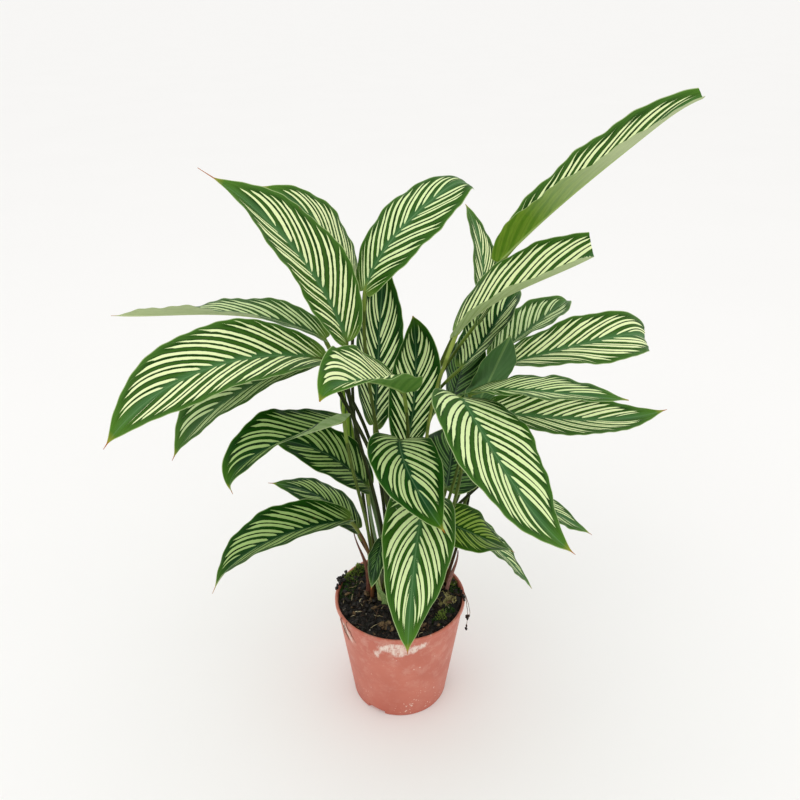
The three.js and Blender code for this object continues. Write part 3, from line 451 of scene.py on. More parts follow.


# What the values are, in mm and degrees:
# foot, knee, lean: where the stalk leaves the soil, how far its curve is pulled sideways, and how much
# of the blade's own direction its top has
# joint, length, width: where the blade begins, and its size
# heading, climb, roll: its direction seen from above, how steeply it rises and how far it tilts, from
# the base to the tip
# lift, curl: how far each half, left and right, stands up at the midrib, and bends on its way out
# lobe, cup, drop: how far the base runs back, how much more the halves stand up there, and how much
# further the tip bends down
# wave, waves, phase: height, number and start of the long waves of the edge
# thread, whole: length of the thread-like tip, or the share of the leaf that is left where it is torn
# scars: share of the length, place across from -1 to 1, size, and strength, below 0 for a scratch
# breadth: how broad its stripes are. top, under, stem: its finishes; the top one carries the painted light or
# shade of the place where the leaf stands
leaves = [
    # left clump, from the top down
    leaf("left_tall", foot=(-9, 8), knee=(-7, 0), lean=0.05, joint=(-41, -9, 367), length=158, width=63,
         heading=(181, 201), climb=(74, 56, 38), roll=(-40, -28), lift=(20, 24), curl=(-8, -8),
         lobe=1, cup=10, wave=1.7, waves=2.6, phase=0, thread=12,
         scars=((0.62, -0.98, 2.2, 0.8), (0.50, -0.97, 1.6, 0.7), (0.56, -0.99, 1.3, 0.8)), breadth=0.82,
         top="sunlit", under="sage", stem="dark"),
    leaf("left_tall_back", foot=(-22, 13), knee=(-16, 8), lean=0.15, joint=(-35, 39, 390), length=115,
         width=52, heading=(197, 181), climb=(72, 54, 20), roll=(-16, -32), lift=(16, 16), curl=(-8, -12),
         cup=5, wave=1.2, waves=3.2, phase=70, thread=3, breadth=0.9,
         top="sunlit", under="sage", stem="dark"),
    leaf("left_far", foot=(-21, 24), knee=(-12, 12), lean=0.55, joint=(-62, 34, 351), length=178, width=51,
         heading=(182, 170), climb=(34, 0, -2), roll=(-16, 36), lift=(28, 20), curl=(-16, -8),
         cup=10, wave=1.2, waves=3.8, phase=340, thread=5, top="muted", under="paleSage", stem="olive"),
    leaf("left_broad", foot=(-6, 2), knee=(13, -23), lean=0.3, joint=(-62, -4, 351), length=180, width=69,
         heading=(203, 210), climb=(20, -10, -48), roll=(-16, -32), lift=(20, 20), curl=(-8, -8),
         lobe=8, cup=5, wave=1.7, waves=2.6, phase=40, thread=5, breadth=0.85,
         top="sunlit", under="sage", stem="dark"),
    leaf("left_broad_under", foot=(-12, 16), knee=(2, -6), lean=0.4, joint=(-61, 20, 337), length=153,
         width=60, heading=(197, 192), climb=(-2, -28, -58), roll=(-20, -28), lift=(32, 32), curl=(0, 0),
         cup=10, wave=1.7, waves=3.2, phase=110, thread=4, top="muted", under="sage", stem="dark"),
    leaf("left_arched", foot=(-12, 3), knee=(9, -6), lean=0.05, joint=(3, -17, 328), length=106, width=69,
         heading=(225, 241), climb=(38, 22, 2), roll=(-8, -24), lift=(44, 24), curl=(-12, -8),
         cup=5, drop=-40, wave=1.7, waves=3.8, phase=180, top="sunlit", under="leafGreen", stem="olive"),
    leaf("left_middle", foot=(-25, 8), knee=(2, -13), lean=0.05, joint=(-44, -22, 306), length=113, width=62,
         heading=(220, 207), climb=(-2, -6, -58), roll=(16, -20), lift=(40, 24), curl=(-8, -4),
         drop=-45, wave=1.7, waves=2.6, phase=240, thread=4, breadth=0.9,
         top="dusky", under="sage", stem="olive"),
    leaf("left_middle_back", foot=(-16, 11), knee=(-2, -7), lean=0.15, joint=(-28, 6, 224), length=98,
         width=53, heading=(184, 177), climb=(56, 32, 0), roll=(-20, -24), lift=(20, 16), curl=(-8, -12),
         cup=5, wave=1.2, waves=3.2, phase=310, thread=3, top="dusky", under="sage", stem="greyGreen"),
    leaf("left_low", foot=(-26, 1), knee=(2, -4), lean=0.4, joint=(-43, -12, 202), length=136, width=55,
         heading=(206, 189), climb=(10, -16, -64), roll=(-8, -8), lift=(32, 24), curl=(0, -4),
         cup=5, wave=1.2, waves=3.8, phase=20, thread=7,
         scars=((0.22, -0.30, 2.4, 0.75), (0.26, -0.24, 1.8, 0.7)),
         top="dusky", under="sage", stem="brown"),
    leaf("left_low_back", foot=(-18, 18), knee=(-6, 4), lean=0.6, joint=(-39, 20, 169), length=91, width=45,
         heading=(167, 180), climb=(56, 30, 6), roll=(-4, -4), lift=(12, 8), curl=(-12, -20),
         cup=10, wave=1.2, waves=2.6, phase=80, thread=4, top="dusky", under="sage", stem="brown"),
    # middle
    leaf("centre_tall", foot=(-4, 11), knee=(-2, 0), lean=0.2, joint=(-27, 8, 403), length=129, width=53,
         heading=(20, 42), climb=(72, 36, 18), roll=(20, 16), lift=(8, 8), curl=(-20, -16),
         drop=-65, wave=1.2, waves=3.8, phase=130, thread=0, breadth=0.85, whole=0.91,
         top="shaded", under="sage", stem="olive"),
    leaf("centre_back", foot=(-5, 17), knee=(1, 4), lean=0.55, joint=(-22, 35, 270), length=147, width=52,
         heading=(62, 68), climb=(82, 82, 76), roll=(-16, -4), lift=(4, 8), curl=(-20, -16),
         cup=10, wave=1.2, waves=2.6, phase=200, top="inner", under="sage", stem="olive"),
    leaf("centre_upright", foot=(1, 14), knee=(4, 5), lean=0.7, joint=(5, 4, 261), length=136, width=48,
         heading=(68, 85), climb=(54, 86, 142), roll=(-4, 24), lift=(32, 28), curl=(0, -4),
         cup=10, wave=1.2, waves=3.2, phase=270, top="inner", under="sage", stem="greyGreen"),
    leaf("front_middle", foot=(5, 2), knee=(-4, 0), lean=0.5, joint=(1, -26, 290), length=107, width=53,
         heading=(-100, -41), climb=(34, -18, -36), roll=(-4, 8), lift=(16, 16), curl=(-12, -12),
         lobe=12, cup=5, wave=1.2, waves=3.2, phase=150, thread=2,
         scars=((0.20, -0.40, 3.0, -0.7), (0.23, -0.52, 2.0, -0.6)),
         top="dimInner", under="sage", stem="olive"),
    leaf("front_low", foot=(14, 4), knee=(0, 0), lean=0.25, joint=(23, -13, 227), length=159, width=58,
         heading=(-98, -99), climb=(36, -28, -82), roll=(0, -40), lift=(8, 16), curl=(-20, -12),
         cup=10, wave=1.7, waves=3.8, phase=220, thread=3,
         scars=((0.30, -0.72, 1.6, -0.8), (0.34, -0.74, 1.2, -0.8)), breadth=1.05,
         top="shaded", under="sage", stem="olive"),
    leaf("front_small", foot=(-18, 3), knee=(7, -10), lean=0.15, joint=(-14, -3, 176), length=47, width=22,
         heading=(-104, -118), climb=(-8, -44, -74), roll=(20, 24), lift=(16, 4), curl=(-12, -20),
         cup=5, wave=0.7, waves=2.6, phase=280, thread=2, top="deep", under="deepGreen", stem="olive"),
    leaf("centre_low_back", foot=(26, 12), knee=(-4, 3), lean=0.65, joint=(39, -6, 230), length=85, width=60,
         heading=(80, 85), climb=(0, 12, 22), roll=(20, 16), lift=(20, 8), curl=(-8, -16),
         cup=5, wave=1.7, waves=2.6, phase=210, top="deep", under="deepGreen", stem="dark"),
    # right clump, from the top down
    leaf("right_tallest", foot=(17, 13), knee=(-18, -2), lean=0.6, joint=(77, 22, 421), length=179, width=52,
         heading=(-24, -3), climb=(52, 44, 42), roll=(4, 20), lift=(32, 36), curl=(0, 4),
         cup=40, drop=-20, wave=1.2, waves=3.8, phase=100, thread=0, breadth=0.9, whole=0.9,
         top="sunlit", under="brightGreen", stem="olive"),
    leaf("back_upright", foot=(33, 17), knee=(-44, -9), lean=0.45, joint=(64, 56, 355), length=108, width=42,
         heading=(119, 119), climb=(114, 78, 36), roll=(36, 28), lift=(12, 16), curl=(-12, -12),
         cup=10, wave=1.2, waves=2.6, phase=170, top="sunlit", under="sage", stem="olive"),
    leaf("right_folded", foot=(39, 16), knee=(-23, -19), lean=0.2, joint=(44, 3, 369), length=125, width=67,
         heading=(-18, -29), climb=(56, 33, 36), roll=(36, 44), lift=(12, 60), curl=(-16, -4),
         cup=-10, wave=1.2, waves=3.2, phase=30, whole=0.78,
         top="sunlit", under="paleSage", stem="yellowGreen"),
    leaf("right_inner", foot=(24, 25), knee=(-24, 6), lean=0.7, joint=(53, 42, 322), length=89, width=52,
         heading=(24, 59), climb=(36, 44, 12), roll=(-8, -8), lift=(24, 28), curl=(-8, -4),
         cup=-5, wave=1.2, waves=3.2, phase=240, top="inner", under="sage", stem="olive"),
    leaf("right_inner_low", foot=(43, 20), knee=(31, 34), lean=0.05, joint=(46, 52, 282), length=73, width=47,
         heading=(39, 58), climb=(72, 64, 46), roll=(-20, 0), lift=(4, 8), curl=(-24, -16),
         cup=5, wave=1.2, waves=3.8, phase=300, top="deep", under="deepGreen", stem="dark"),
    leaf("right_level_back", foot=(29, 22), knee=(0, 20), lean=0.05, joint=(84, 77, 315), length=104,
         width=50, heading=(22, 54), climb=(34, 20, 12), roll=(-8, 12), lift=(24, 28), curl=(-8, -4),
         cup=10, drop=-55, wave=1.2, waves=3.8, phase=260, top="muted", under="sage", stem="olive"),
    leaf("right_level", foot=(29, 28), knee=(27, 29), lean=0.05, joint=(74, 39, 320), length=152, width=55,
         heading=(-15, 37), climb=(26, 10, -10), roll=(-8, 48), lift=(12, 16), curl=(-12, -12),
         cup=15, drop=-35, wave=1.7, waves=3.2, phase=190, whole=0.82,
         top="sunlit", under="sage", stem="olive"),
    leaf("right_turned", foot=(31, 6), knee=(-8, -34), lean=0.05, joint=(57, 15, 287), length=95, width=43,
         heading=(-34, -55), climb=(62, 68, 64), roll=(-4, -16), lift=(4, 8), curl=(-20, -16),
         cup=5, wave=1.2, waves=2.6, phase=330, top="deep", under="deepGreen", stem="olive"),
    leaf("right_flat", foot=(34, 1), knee=(1, -33), lean=0.05, joint=(55, -13, 325), length=127, width=49,
         heading=(-41, -19), climb=(28, 10, 4), roll=(0, 4), lift=(12, 20), curl=(-16, -8),
         cup=5, wave=1.2, waves=3.8, phase=60, scars=((0.80, -0.15, 2.4, 0.9), (0.83, -0.05, 1.6, 0.8)),
         top="shaded", under="leafGreen", stem="olive"),
    leaf("right_flat_back", foot=(35, 28), knee=(28, 28), lean=0.05, joint=(67, 28, 287), length=167,
         width=51, heading=(-5, 16), climb=(-2, -6, 10), roll=(20, 16), lift=(16, 20), curl=(-12, -8),
         cup=5, wave=1.2, waves=2.6, phase=130, thread=3, top="sunlit", under="sage", stem="olive"),
    leaf("right_broad", foot=(18, 23), knee=(-20, 34), lean=0.7, joint=(46, -27, 329), length=159, width=72,
         heading=(-87, -21), climb=(24, -36, -30), roll=(-16, 8), lift=(12, 16), curl=(-12, -12),
         lobe=13, wave=1.7, waves=3.2, phase=350, thread=3,
         scars=((0.88, -0.80, 2.6, 0.7), (0.84, -0.9, 1.6, 0.6)),
         top="shaded", under="sage", stem="olive"),
    leaf("right_under", foot=(21, 18), knee=(-8, 9), lean=0.15, joint=(81, 22, 231), length=110, width=43,
         heading=(-7, -5), climb=(-36, -34, -32), roll=(8, 4), lift=(8, 16), curl=(-16, -12),
         cup=5, wave=1.2, waves=3.8, phase=140, thread=3, top="shaded", under="sage", stem="dark"),
    leaf("right_low", foot=(36, 9), knee=(10, -1), lean=0.4, joint=(34, 8, 188), length=72, width=53,
         heading=(-17, -3), climb=(-12, -22, -26), roll=(32, -20), lift=(12, 16), curl=(-16, -12),
         cup=5, wave=1.2, waves=2.6, phase=10, thread=3, top="deepOlive", under="deepGreen", stem="olive"),
    leaf("right_low_under", foot=(36, 22), knee=(0, 0), lean=0.15, joint=(48, 29, 172), length=115, width=41,
         heading=(-2, 1), climb=(-24, -48, -56), roll=(8, 4), lift=(12, 20), curl=(-16, -8),
         cup=10, wave=1.2, waves=3.2, phase=80, top="shaded", under="sage", stem="dark"),
]


def outline(s):
    # half width against the widest: a quarter of an ellipse up to the widest place, then a long taper
    widest = leafMake["widest"]
    low = np.sqrt(np.clip(1 - np.clip(1 - s / widest, 0, 1) ** 2, 0, 1))
    high = (1 - np.clip((s - widest) / (1 - widest), 0, 1) ** 2.1) ** 1.1  # powers fitted
    return np.where(s < widest, low, high)


def bladeFrame(leaf, s):
    # midrib point, its direction, the leaf's left and the way its face looks, at each share of the length.
    # The climb is a parabola through three angles, with a drop over the last fifth; the heading and the
    # roll go evenly from the first value to the second. The midrib sums the directions.
    def directions(s):
        s = np.clip(s, 0, 1)
        start, end = leaf["heading"]
        heading = np.radians(start + (end - start) * s)
        first, middle, last = leaf["climb"]
        climb = first * (1 - s) * (1 - 2 * s) + 4 * middle * s * (1 - s) + last * s * (2 * s - 1)
        climb = np.radians(climb + leaf["drop"] * np.clip((s - 0.78) / 0.22, 0, 1) ** 2)
        level = np.cos(climb)
        return heading, np.stack([np.cos(heading) * level, np.sin(heading) * level, np.sin(climb)], -1)

    fine = np.linspace(0, s.max(), 401)
    _, fineAlong = directions(fine)
    steps = (fineAlong[1:] + fineAlong[:-1]) / 2 * (fine[1] - fine[0]) * leaf["length"]
    way = np.concatenate([np.zeros((1, 3)), np.cumsum(steps, 0)]) + np.array(leaf["joint"], float)
    midrib = np.stack([np.interp(s, fine, way[:, i]) for i in range(3)], -1)
    heading, along = directions(s)
    level = np.stack([-np.sin(heading), np.cos(heading), 0 * heading], -1)
    normal = np.cross(along, level)
    rollStart, rollEnd = leaf["roll"]
    roll = np.radians(rollStart + (rollEnd - rollStart) * np.clip(s, 0, 1))[:, None]
    left = level * np.cos(roll) + normal * np.sin(roll)
    face = normal * np.cos(roll) - level * np.sin(roll)
    return midrib, along, left, face


def bladeShell(leaf, seed):
    # Each half leaves the midrib at its lift angle and curls evenly outwards; the edge waves, and the
    # lobes at the base run back. Upper and lower skins are the same grid set apart along its normals.
    rows = np.linspace(0, 1, leafMake["stations"])
    rows = 0.55 * rows + 0.45 * (0.5 - 0.5 * np.cos(np.pi * rows))  # closer at the base and the tip
    if leaf["thread"]:
        rows = np.concatenate([rows, 1 + np.linspace(0.2, 1, 5) * leaf["thread"] / leaf["length"]])
    s = rows[:, None]
    half = np.array(leafMake["halfColumns"])
    v = np.concatenate([-half[:0:-1], half])[None]
    amount = np.abs(v)
    isLeft = v > 0
    midrib, along, left, face = bladeFrame(leaf, rows)
    inner = np.clip(s, 0, 1)
    # a torn blade is the first part of the leaf it was, with its pattern cut off too
    grown = inner * leaf["whole"]
    # the outline is drawn in by a third right before the tip, and never narrower than the thread
    shape = outline(grown) * (1 - 0.3 * np.exp(-((1 - grown) / 0.045) ** 2))
    alongThread = (s - 1) * leaf["length"] / max(leaf["thread"], 1)
    width = leaf["width"] / 2 * shape + leafMake["threadHalf"] * np.clip(1 - alongThread, 0.2, 1)
    lift = np.radians(np.where(isLeft, *leaf["lift"]) + leaf["cup"] * (1 - inner) ** 3)
    curl = np.radians(np.where(isLeft, *leaf["curl"]))
    curl = np.where(np.abs(curl) < 1e-3, 1e-3, curl)
    out = width * (np.sin(lift + curl * amount) - np.sin(lift)) / curl
    rise = width * (np.cos(lift) - np.cos(lift + curl * amount)) / curl
    phase = np.radians(leaf["phase"]) + np.where(isLeft, 0, 2.0)
    swing = np.sin(2 * np.pi * leaf["waves"] * inner + phase)
    wave = leaf["wave"] * amount ** 2 * np.sin(np.pi * inner) * swing
    ripples = 2 * np.pi * inner * leaf["length"] / np.where(isLeft, *leafMake["rippleWay"]) + phase * 1.7
    wave = wave + leafMake["ripple"] * amount ** 5 * np.sin(np.pi * inner) ** 0.5 * np.sin(ripples)
    back = leaf["lobe"] * amount * (1 - inner) ** 8 * np.minimum(1, 4 * outline(inner))
    # which vein passes here: the share of the length at which it left the midrib. A vein goes over the
    # half leaf at a slope that falls evenly along the midrib, bending forward a little towards the edge
    slope, fall = veinLook["slope"]
    gone = amount * (1 + veinLook["bend"] * amount)
    spread = slope + fall * grown
    root = (spread - np.sqrt((slope - fall * grown) ** 2 + 4 * fall * gone)) / (2 * fall)
    # pairs passed since the base; those of the left half stand between those of the right
    pairs = veinLook["pairs"] + leaf["length"] / leaf["whole"] / veinLook["pairEvery"]
    count = pairs * (root - veinLook["thinning"] * np.maximum(root - 0.50, 0))
    count = count + np.where(isLeft, 0.5, 0.0) + seed * 0.37
    fromRib = amount * width
    fromEdge = (1 - amount) * width
    calm = smoothStep(0.5, 5, fromRib) * smoothStep(0.2, 3, fromEdge)  # pleats die out at rib and edge
    pleat = -leafMake["pleat"] * calm * np.cos(2 * np.pi * (count - veinLook["pairCentre"]))
    rise = rise + wave + pleat
    points = (midrib[:, None] + left[:, None] * (np.sign(v) * out)[..., None]
              + face[:, None] * rise[..., None] - along[:, None] * back[..., None])
    # the normal of a corner is the sum of the crossed diagonals of the faces round it
    cross = np.cross(points[1:, 1:] - points[:-1, :-1], points[:-1, 1:] - points[1:, :-1])
    cross = cross * np.sign((cross * face[:-1, None]).sum(-1, keepdims=True))
    square = np.zeros_like(points)
    for i in (slice(None, -1), slice(1, None)):
        for j in (slice(None, -1), slice(1, None)):
            square[i, j] += cross
    square = unit(square)
    gap = leafMake["thickness"] / 2 * (0.35 + 0.65 * smoothStep(0, 4, fromEdge))
    # the rib gets narrower and flatter towards the tip, all in mm
    ribWidth = 0.5 + 0.9 * (1 - inner)
    ribRise = np.exp(-(fromRib / ribWidth) ** 2) * (0.25 + 0.75 * (1 - inner) ** 1.5)
    groove = leafMake["groove"] * ribRise * smoothStep(0.0, 0.1, inner)
    upper = points + square * (gap - groove)[..., None]
    lower = points - square * (gap + leafMake["rib"] * ribRise)[..., None]
    rowCount, columnCount = points.shape[:2]
    number = np.arange(rowCount * columnCount).reshape(rowCount, columnCount)
    a, b, c, d = number[:-1, :-1], number[1:, :-1], number[1:, 1:], number[:-1, 1:]
    top = np.stack([a, b, c, d], -1).reshape(-1, 4)
    under = top[:, ::-1] + number.size
    ring = np.concatenate([number[:-1, 0], number[-1, :-1], number[:0:-1, -1], number[0, :0:-1]])
    nextOne = np.roll(ring, -1)
    rim = np.stack([nextOne, ring, ring + number.size, nextOne + number.size], -1)
    vein = np.stack(np.broadcast_arrays(count, fromRib, fromEdge), -1).reshape(-1, 3)
    sheet = np.where(isLeft, 9.0, 0.0) + seed  # keeps the patterns of the halves and leaves apart
    place = np.stack(np.broadcast_arrays(s - inner + grown, sheet, root), -1).reshape(-1, 3)
    scar = np.zeros((rowCount, columnCount))
    for share, across, size, strength in leaf["scars"]:
        near = ((s - share) * leaf["length"]) ** 2 + ((v - across) * leaf["width"] / 2) ** 2
        scar = scar + strength * np.exp(-near / size ** 2)
    corners = np.concatenate([upper.reshape(-1, 3), lower.reshape(-1, 3)])
    marks = {"vein": np.tile(vein, (2, 1)), "place": np.tile(place, (2, 1)), "scar": np.tile(scar.ravel(), 2),
             "breadth": np.full(len(corners), leaf["breadth"])}
    return corners, [(top, 0), (rim, 0), (under, 1)], marks


def stalkWay(foot, knee, lean, joint, direction, shares):
    # a cubic curve: straight up from the foot, then over towards the blade's own direction. Its inner
    # points lie half the rise above the foot and about 0.3 of it before the joint, and both are pulled
    # sideways by the knee
    start = np.array([foot[0], foot[1], leafMake["stalkStart"]], float)
    end = np.array(joint, float)
    rise = end[2] - start[2]
    bend = np.array([knee[0], knee[1], 0.0])
    leaning = unit(np.array([0, 0, 1.0]) * (1 - lean) + direction * lean)
    second = start + [0, 0, 0.5 * rise] + bend
    third = end - leaning * 0.3 * min(max(rise, 60), 4 * rise) + bend
    u = shares[:, None]
    return (1 - u) ** 3 * start + 3 * (1 - u) ** 2 * u * second + 3 * (1 - u) * u * u * third + u ** 3 * end


def leafStalk(leaf, seed):
    # a round stalk: sunk straight into the soil, wider at the foot, with a fleshy collar
    # below the blade, running out as the rib under the blade's base
    shares = np.linspace(0, 1, leafMake["stalkSteps"])
    midrib, along, left, face = bladeFrame(leaf, np.array([0.0, *leafMake["runOutShares"]]))
    way = stalkWay(leaf["foot"], leaf["knee"], leaf["lean"], leaf["joint"], along[0], shares)
    sunk = way[0] - [0, 0, 1.0] * np.array([[leafMake["stalkSunk"]], [leafMake["stalkSunk"] / 2]])
    runOut = midrib[1:] - face[1:] * np.array(leafMake["runOutBelow"])[:, None]
    path = np.concatenate([sunk, way, runOut])
    base = leafMake["stalkRadius"] + leafMake["stalkGrowth"] * leaf["length"]
    lengthMm = np.linalg.norm(np.diff(way, axis=0), axis=1).sum()
    fromTop = (1 - shares) * lengthMm
    radius = base * np.where(shares < 0.5, 1 - 0.18 * shares, 0.86 + 0.1 * shares)
    flare = 1 + leafMake["footFlare"] * np.exp(-shares * lengthMm / leafMake["flareWay"])
    inCollar = smoothStep(leafMake["collarLength"] + 2, 14, fromTop) * smoothStep(0, 5, fromTop)
    radius = radius * flare * (1 + leafMake["collarSwell"] * inCollar)
    radii = np.concatenate([[radius[0] * 0.7, radius[0]], radius, base * np.array(leafMake["runOutRadius"])])
    sides = leafMake["stalkSides"]
    turn = np.linspace(0, 2 * np.pi, sides, endpoint=False)
    # slightly channelled on the upper side
    channel = 1 - 0.10 * np.exp(-((turn - np.pi / 2) / 0.7) ** 2)
    level = left[0]
    corners, quads, caps = tubes(path[None], (radii[:, None] * channel)[None], sides, level)
    heightMm = np.concatenate([[0, 0], shares * lengthMm, np.full(5, lengthMm)])
    vein = np.zeros((len(path), sides, 3))
    vein[..., 0] = np.cos(turn) + seed * 3.1
    vein[..., 1] = np.sin(turn)
    vein[..., 2] = heightMm[:, None] * 0.03
    place = np.zeros((len(path), sides, 3))
    collar = np.where(fromTop < leafMake["collarLength"], 1.0, np.minimum(shares, 0.88))
    place[..., 0] = np.concatenate([[0, 0], collar, np.ones(5)])[:, None]
    vein = np.concatenate([vein.reshape(-1, 3), vein[[0, -1], 0]])
    place = np.concatenate([place.reshape(-1, 3), place[[0, -1], 0]])
    marks = {"vein": vein, "place": place, "scar": np.zeros(len(corners)), "breadth": np.ones(len(corners))}
    return corners, [(quads, 2), (caps, 2)], marks


for seed, one in enumerate(leaves):
    bladeCorners, bladeFaces, bladeMarks = bladeShell(one, seed)
    stalkCorners, stalkFaces, stalkMarks = leafStalk(one, seed)
    corners, faceSets = joined([(bladeCorners, bladeFaces), (stalkCorners, stalkFaces)])
    marks = {key: np.concatenate([bladeMarks[key], stalkMarks[key]]) for key in bladeMarks}
    addPiece("leaf_" + one["name"] + "_fine", corners, faceSets,
             [topFinish[one["top"]], underFinish[one["under"]], stemFinish[one["stem"]]],
             marks, ["leaf_" + one["name"]])
print("stage:", len(leaves), "leaves made")


# Pot

pot = {
    "height": 109.0,      # mm, as all here
    "rimRadius": 60.0,
    "baseRadius": 44.5,
    "wall": 1.5,
    "bead": 0.9,          # mm that the rolled rim stands proud of the wall
    "floor": 1.8,
    "underFloor": 0.9,    # the floor stands clear of the ground by this
    "corner": 7.5,        # height of the slope between floor and wall
    "columns": 216,
    "holes": 6,
    "holeRadius": 4.5,
    "holeCircle": 23.0,
    "notches": 3,         # drainage notches in the foot
    "notchWidth": 17.0,
    "notchDepth": 3.0,
    "notchStart": -120.0,  # degrees
}


def wallRadius(z):
    # outside of the wall: a straight taper from the base to just under the rim
    return pot["baseRadius"] + (pot["rimRadius"] - pot["bead"] - pot["baseRadius"]) * z / pot["height"]


def insideRadius(z, gap=0.0):
    # inside of the wall, less a gap
    return wallRadius(z) - pot["wall"] - gap


def potGrid():
    # a closed outline of radius and height turned round the axis; at the foot the outside steps in
    # where a drainage notch is, with its sides softened over two degrees
    h = pot["height"]
    # radius and height, from the foot up the wall and round the rolled rim
    outside = [(43.0, 0.0), (43.9, 0.12), (wallRadius(0.6), 0.6), (wallRadius(1.6), 1.6)]
    outside += [(wallRadius(z), z) for z in (2.8, 3.9, 4.4, 4.75, 5.2, 6.5)]
    outside += [(wallRadius(z), z) for z in np.arange(9, h - 6, 3.0)]
    outside += [(wallRadius(h - 5.2), h - 5.2), (wallRadius(h - 4.6) + 0.25, h - 4.6), (59.75, h - 4.0)]
    outside += [(60.0, h - 3.4), (60.0, h - 1.0), (59.93, h - 0.45), (59.7, h - 0.12), (59.35, h)]
    # down the inside, over the floor to the middle, and out again underneath
    corner, floor, clear = pot["corner"], pot["floor"], pot["underFloor"]
    inside = [(58.4, h), (58.0, h - 0.15), (57.7, h - 0.5)]
    inside += [(insideRadius(z), z) for z in np.arange(h - 3, corner + 1, -4.0)]
    low = insideRadius(corner) - corner + floor
    inside += [(insideRadius(corner), corner), (low + 2.6, floor + 2.4), (low, floor)]
    flat = [(r, floor) for r in (32, 26, 20, 14, 7)]
    under = [(r, clear) for r in (7, 14, 20, 26, 32)] + [(38.0, clear), (39.6, 0.75), (41.0, 0.1)]
    profile = np.array(outside + inside + flat + under)
    turn = np.linspace(0, 2 * np.pi, pot["columns"], endpoint=False)
    radius = np.repeat(profile[:, :1], len(turn), 1)
    height = np.repeat(profile[:, 1:], len(turn), 1)
    apart = 360 / pot["notches"]
    spread = (np.degrees(turn) - pot["notchStart"] + apart / 2) % apart - apart / 2
    halfWidth = np.degrees(pot["notchWidth"] / 2 / pot["baseRadius"])
    inNotch = smoothStep(halfWidth + 0.9, halfWidth - 0.9, np.abs(spread))
    # the notches take the rings up to 4.4 mm and fade out at the next; the wall is pushed in there, and
    # keeps a little of its taper
    isFoot = np.zeros(len(profile))
    isFoot[:7] = 1
    isFoot[7] = 0.35
    limit = pot["baseRadius"] + 0.4 - pot["notchDepth"]
    pushed = np.minimum(radius, limit + (radius - 43.0) * 0.05)
    share = isFoot[:, None] * inNotch
    radius = radius * (1 - share) + pushed * share
    # the moulding isn't quite round: a faint sway of the wall
    sway = 0.25 * np.sin(2 * turn + 0.7) * smoothStep(20, 100, height)
    rings = np.stack([(radius + sway) * np.cos(turn), (radius + sway) * np.sin(turn), height], -1)
    n, m = radius.shape
    i, j = np.meshgrid(np.arange(n - 1), np.arange(m), indexing="ij")
    following = (j + 1) % m
    quads = [i * m + j, i * m + following, (i + 1) * m + following, (i + 1) * m + j]
    quads = np.stack(quads, -1).reshape(-1, 4)
    # the innermost rings of the floor, above and below, are closed by a point each, not joined
    split = len(outside) + len(inside) + len(flat) - 1
    quads = quads[i.ravel() != split]
    k = np.arange(m)
    after = (k + 1) % m
    closing = np.stack([(n - 1) * m + k, (n - 1) * m + after, after, k], -1)
    poles = np.array([[0, 0, floor], [0, 0, clear]])
    capTop = np.stack([split * m + k, split * m + after, np.full(m, n * m)], -1)
    capLow = np.stack([(split + 1) * m + after, (split + 1) * m + k, np.full(m, n * m + 1)], -1)
    corners = np.concatenate([rings.reshape(-1, 3), poles])
    return corners, np.concatenate([quads, closing]), np.concatenate([capTop, capLow])


# Dried lime where water ran over the rim: place in mm, size in mm, strength.
limeMarks = (
    ((-17, -53.5, 95), 8, 0.75), ((-7, -57, 99), 9, 0.85), ((2, -58, 96), 9, 0.9), ((-1, -57, 90), 6, 0.7),
    ((15, -56, 96), 6, 0.75), ((22, -53, 99), 6, 0.8), ((11, -56, 92), 4, 0.6), ((-21, -51, 88), 4, 0.75),
    ((-20, -51, 82), 3.5, 0.7), ((-51, -28, 97), 7, 0.9), ((-47, -33, 91), 6, 0.9), ((-43, -37, 86), 5, 0.8),
    ((-32, -47, 96), 3.5, 0.5), ((33, -46, 101), 5, 0.6), ((50, 25, 95), 8, 0.6), ((-20, 55, 96), 10, 0.7),
    ((30, 50, 90), 6, 0.6), ((1, -47, 12), 1.9, 1.0), ((2, -46.5, 9), 1.5, 1.0), ((15, -45, 21), 1.7, 0.95),
    ((-27, -38.5, 17), 1.6, 0.9), ((-33, -35, 24), 1.4, 0.9), ((-24, -40, 13), 1.2, 0.9),
    ((22, -42, 16), 1.2, 0.9), ((8, -47, 28), 1.2, 0.8), ((-10, -48, 36), 1.2, 0.8),
)


potColours = {
    "plain": ("#BC6551", "#C8745F"),
    # foot: a deeper red for the painted shade low on the wall
    "foot": "#B0523F",
    "chalk": "#EBD9CC",
    "veil": "#DDB3A2",
    "splash": "#E6CFC2",
}


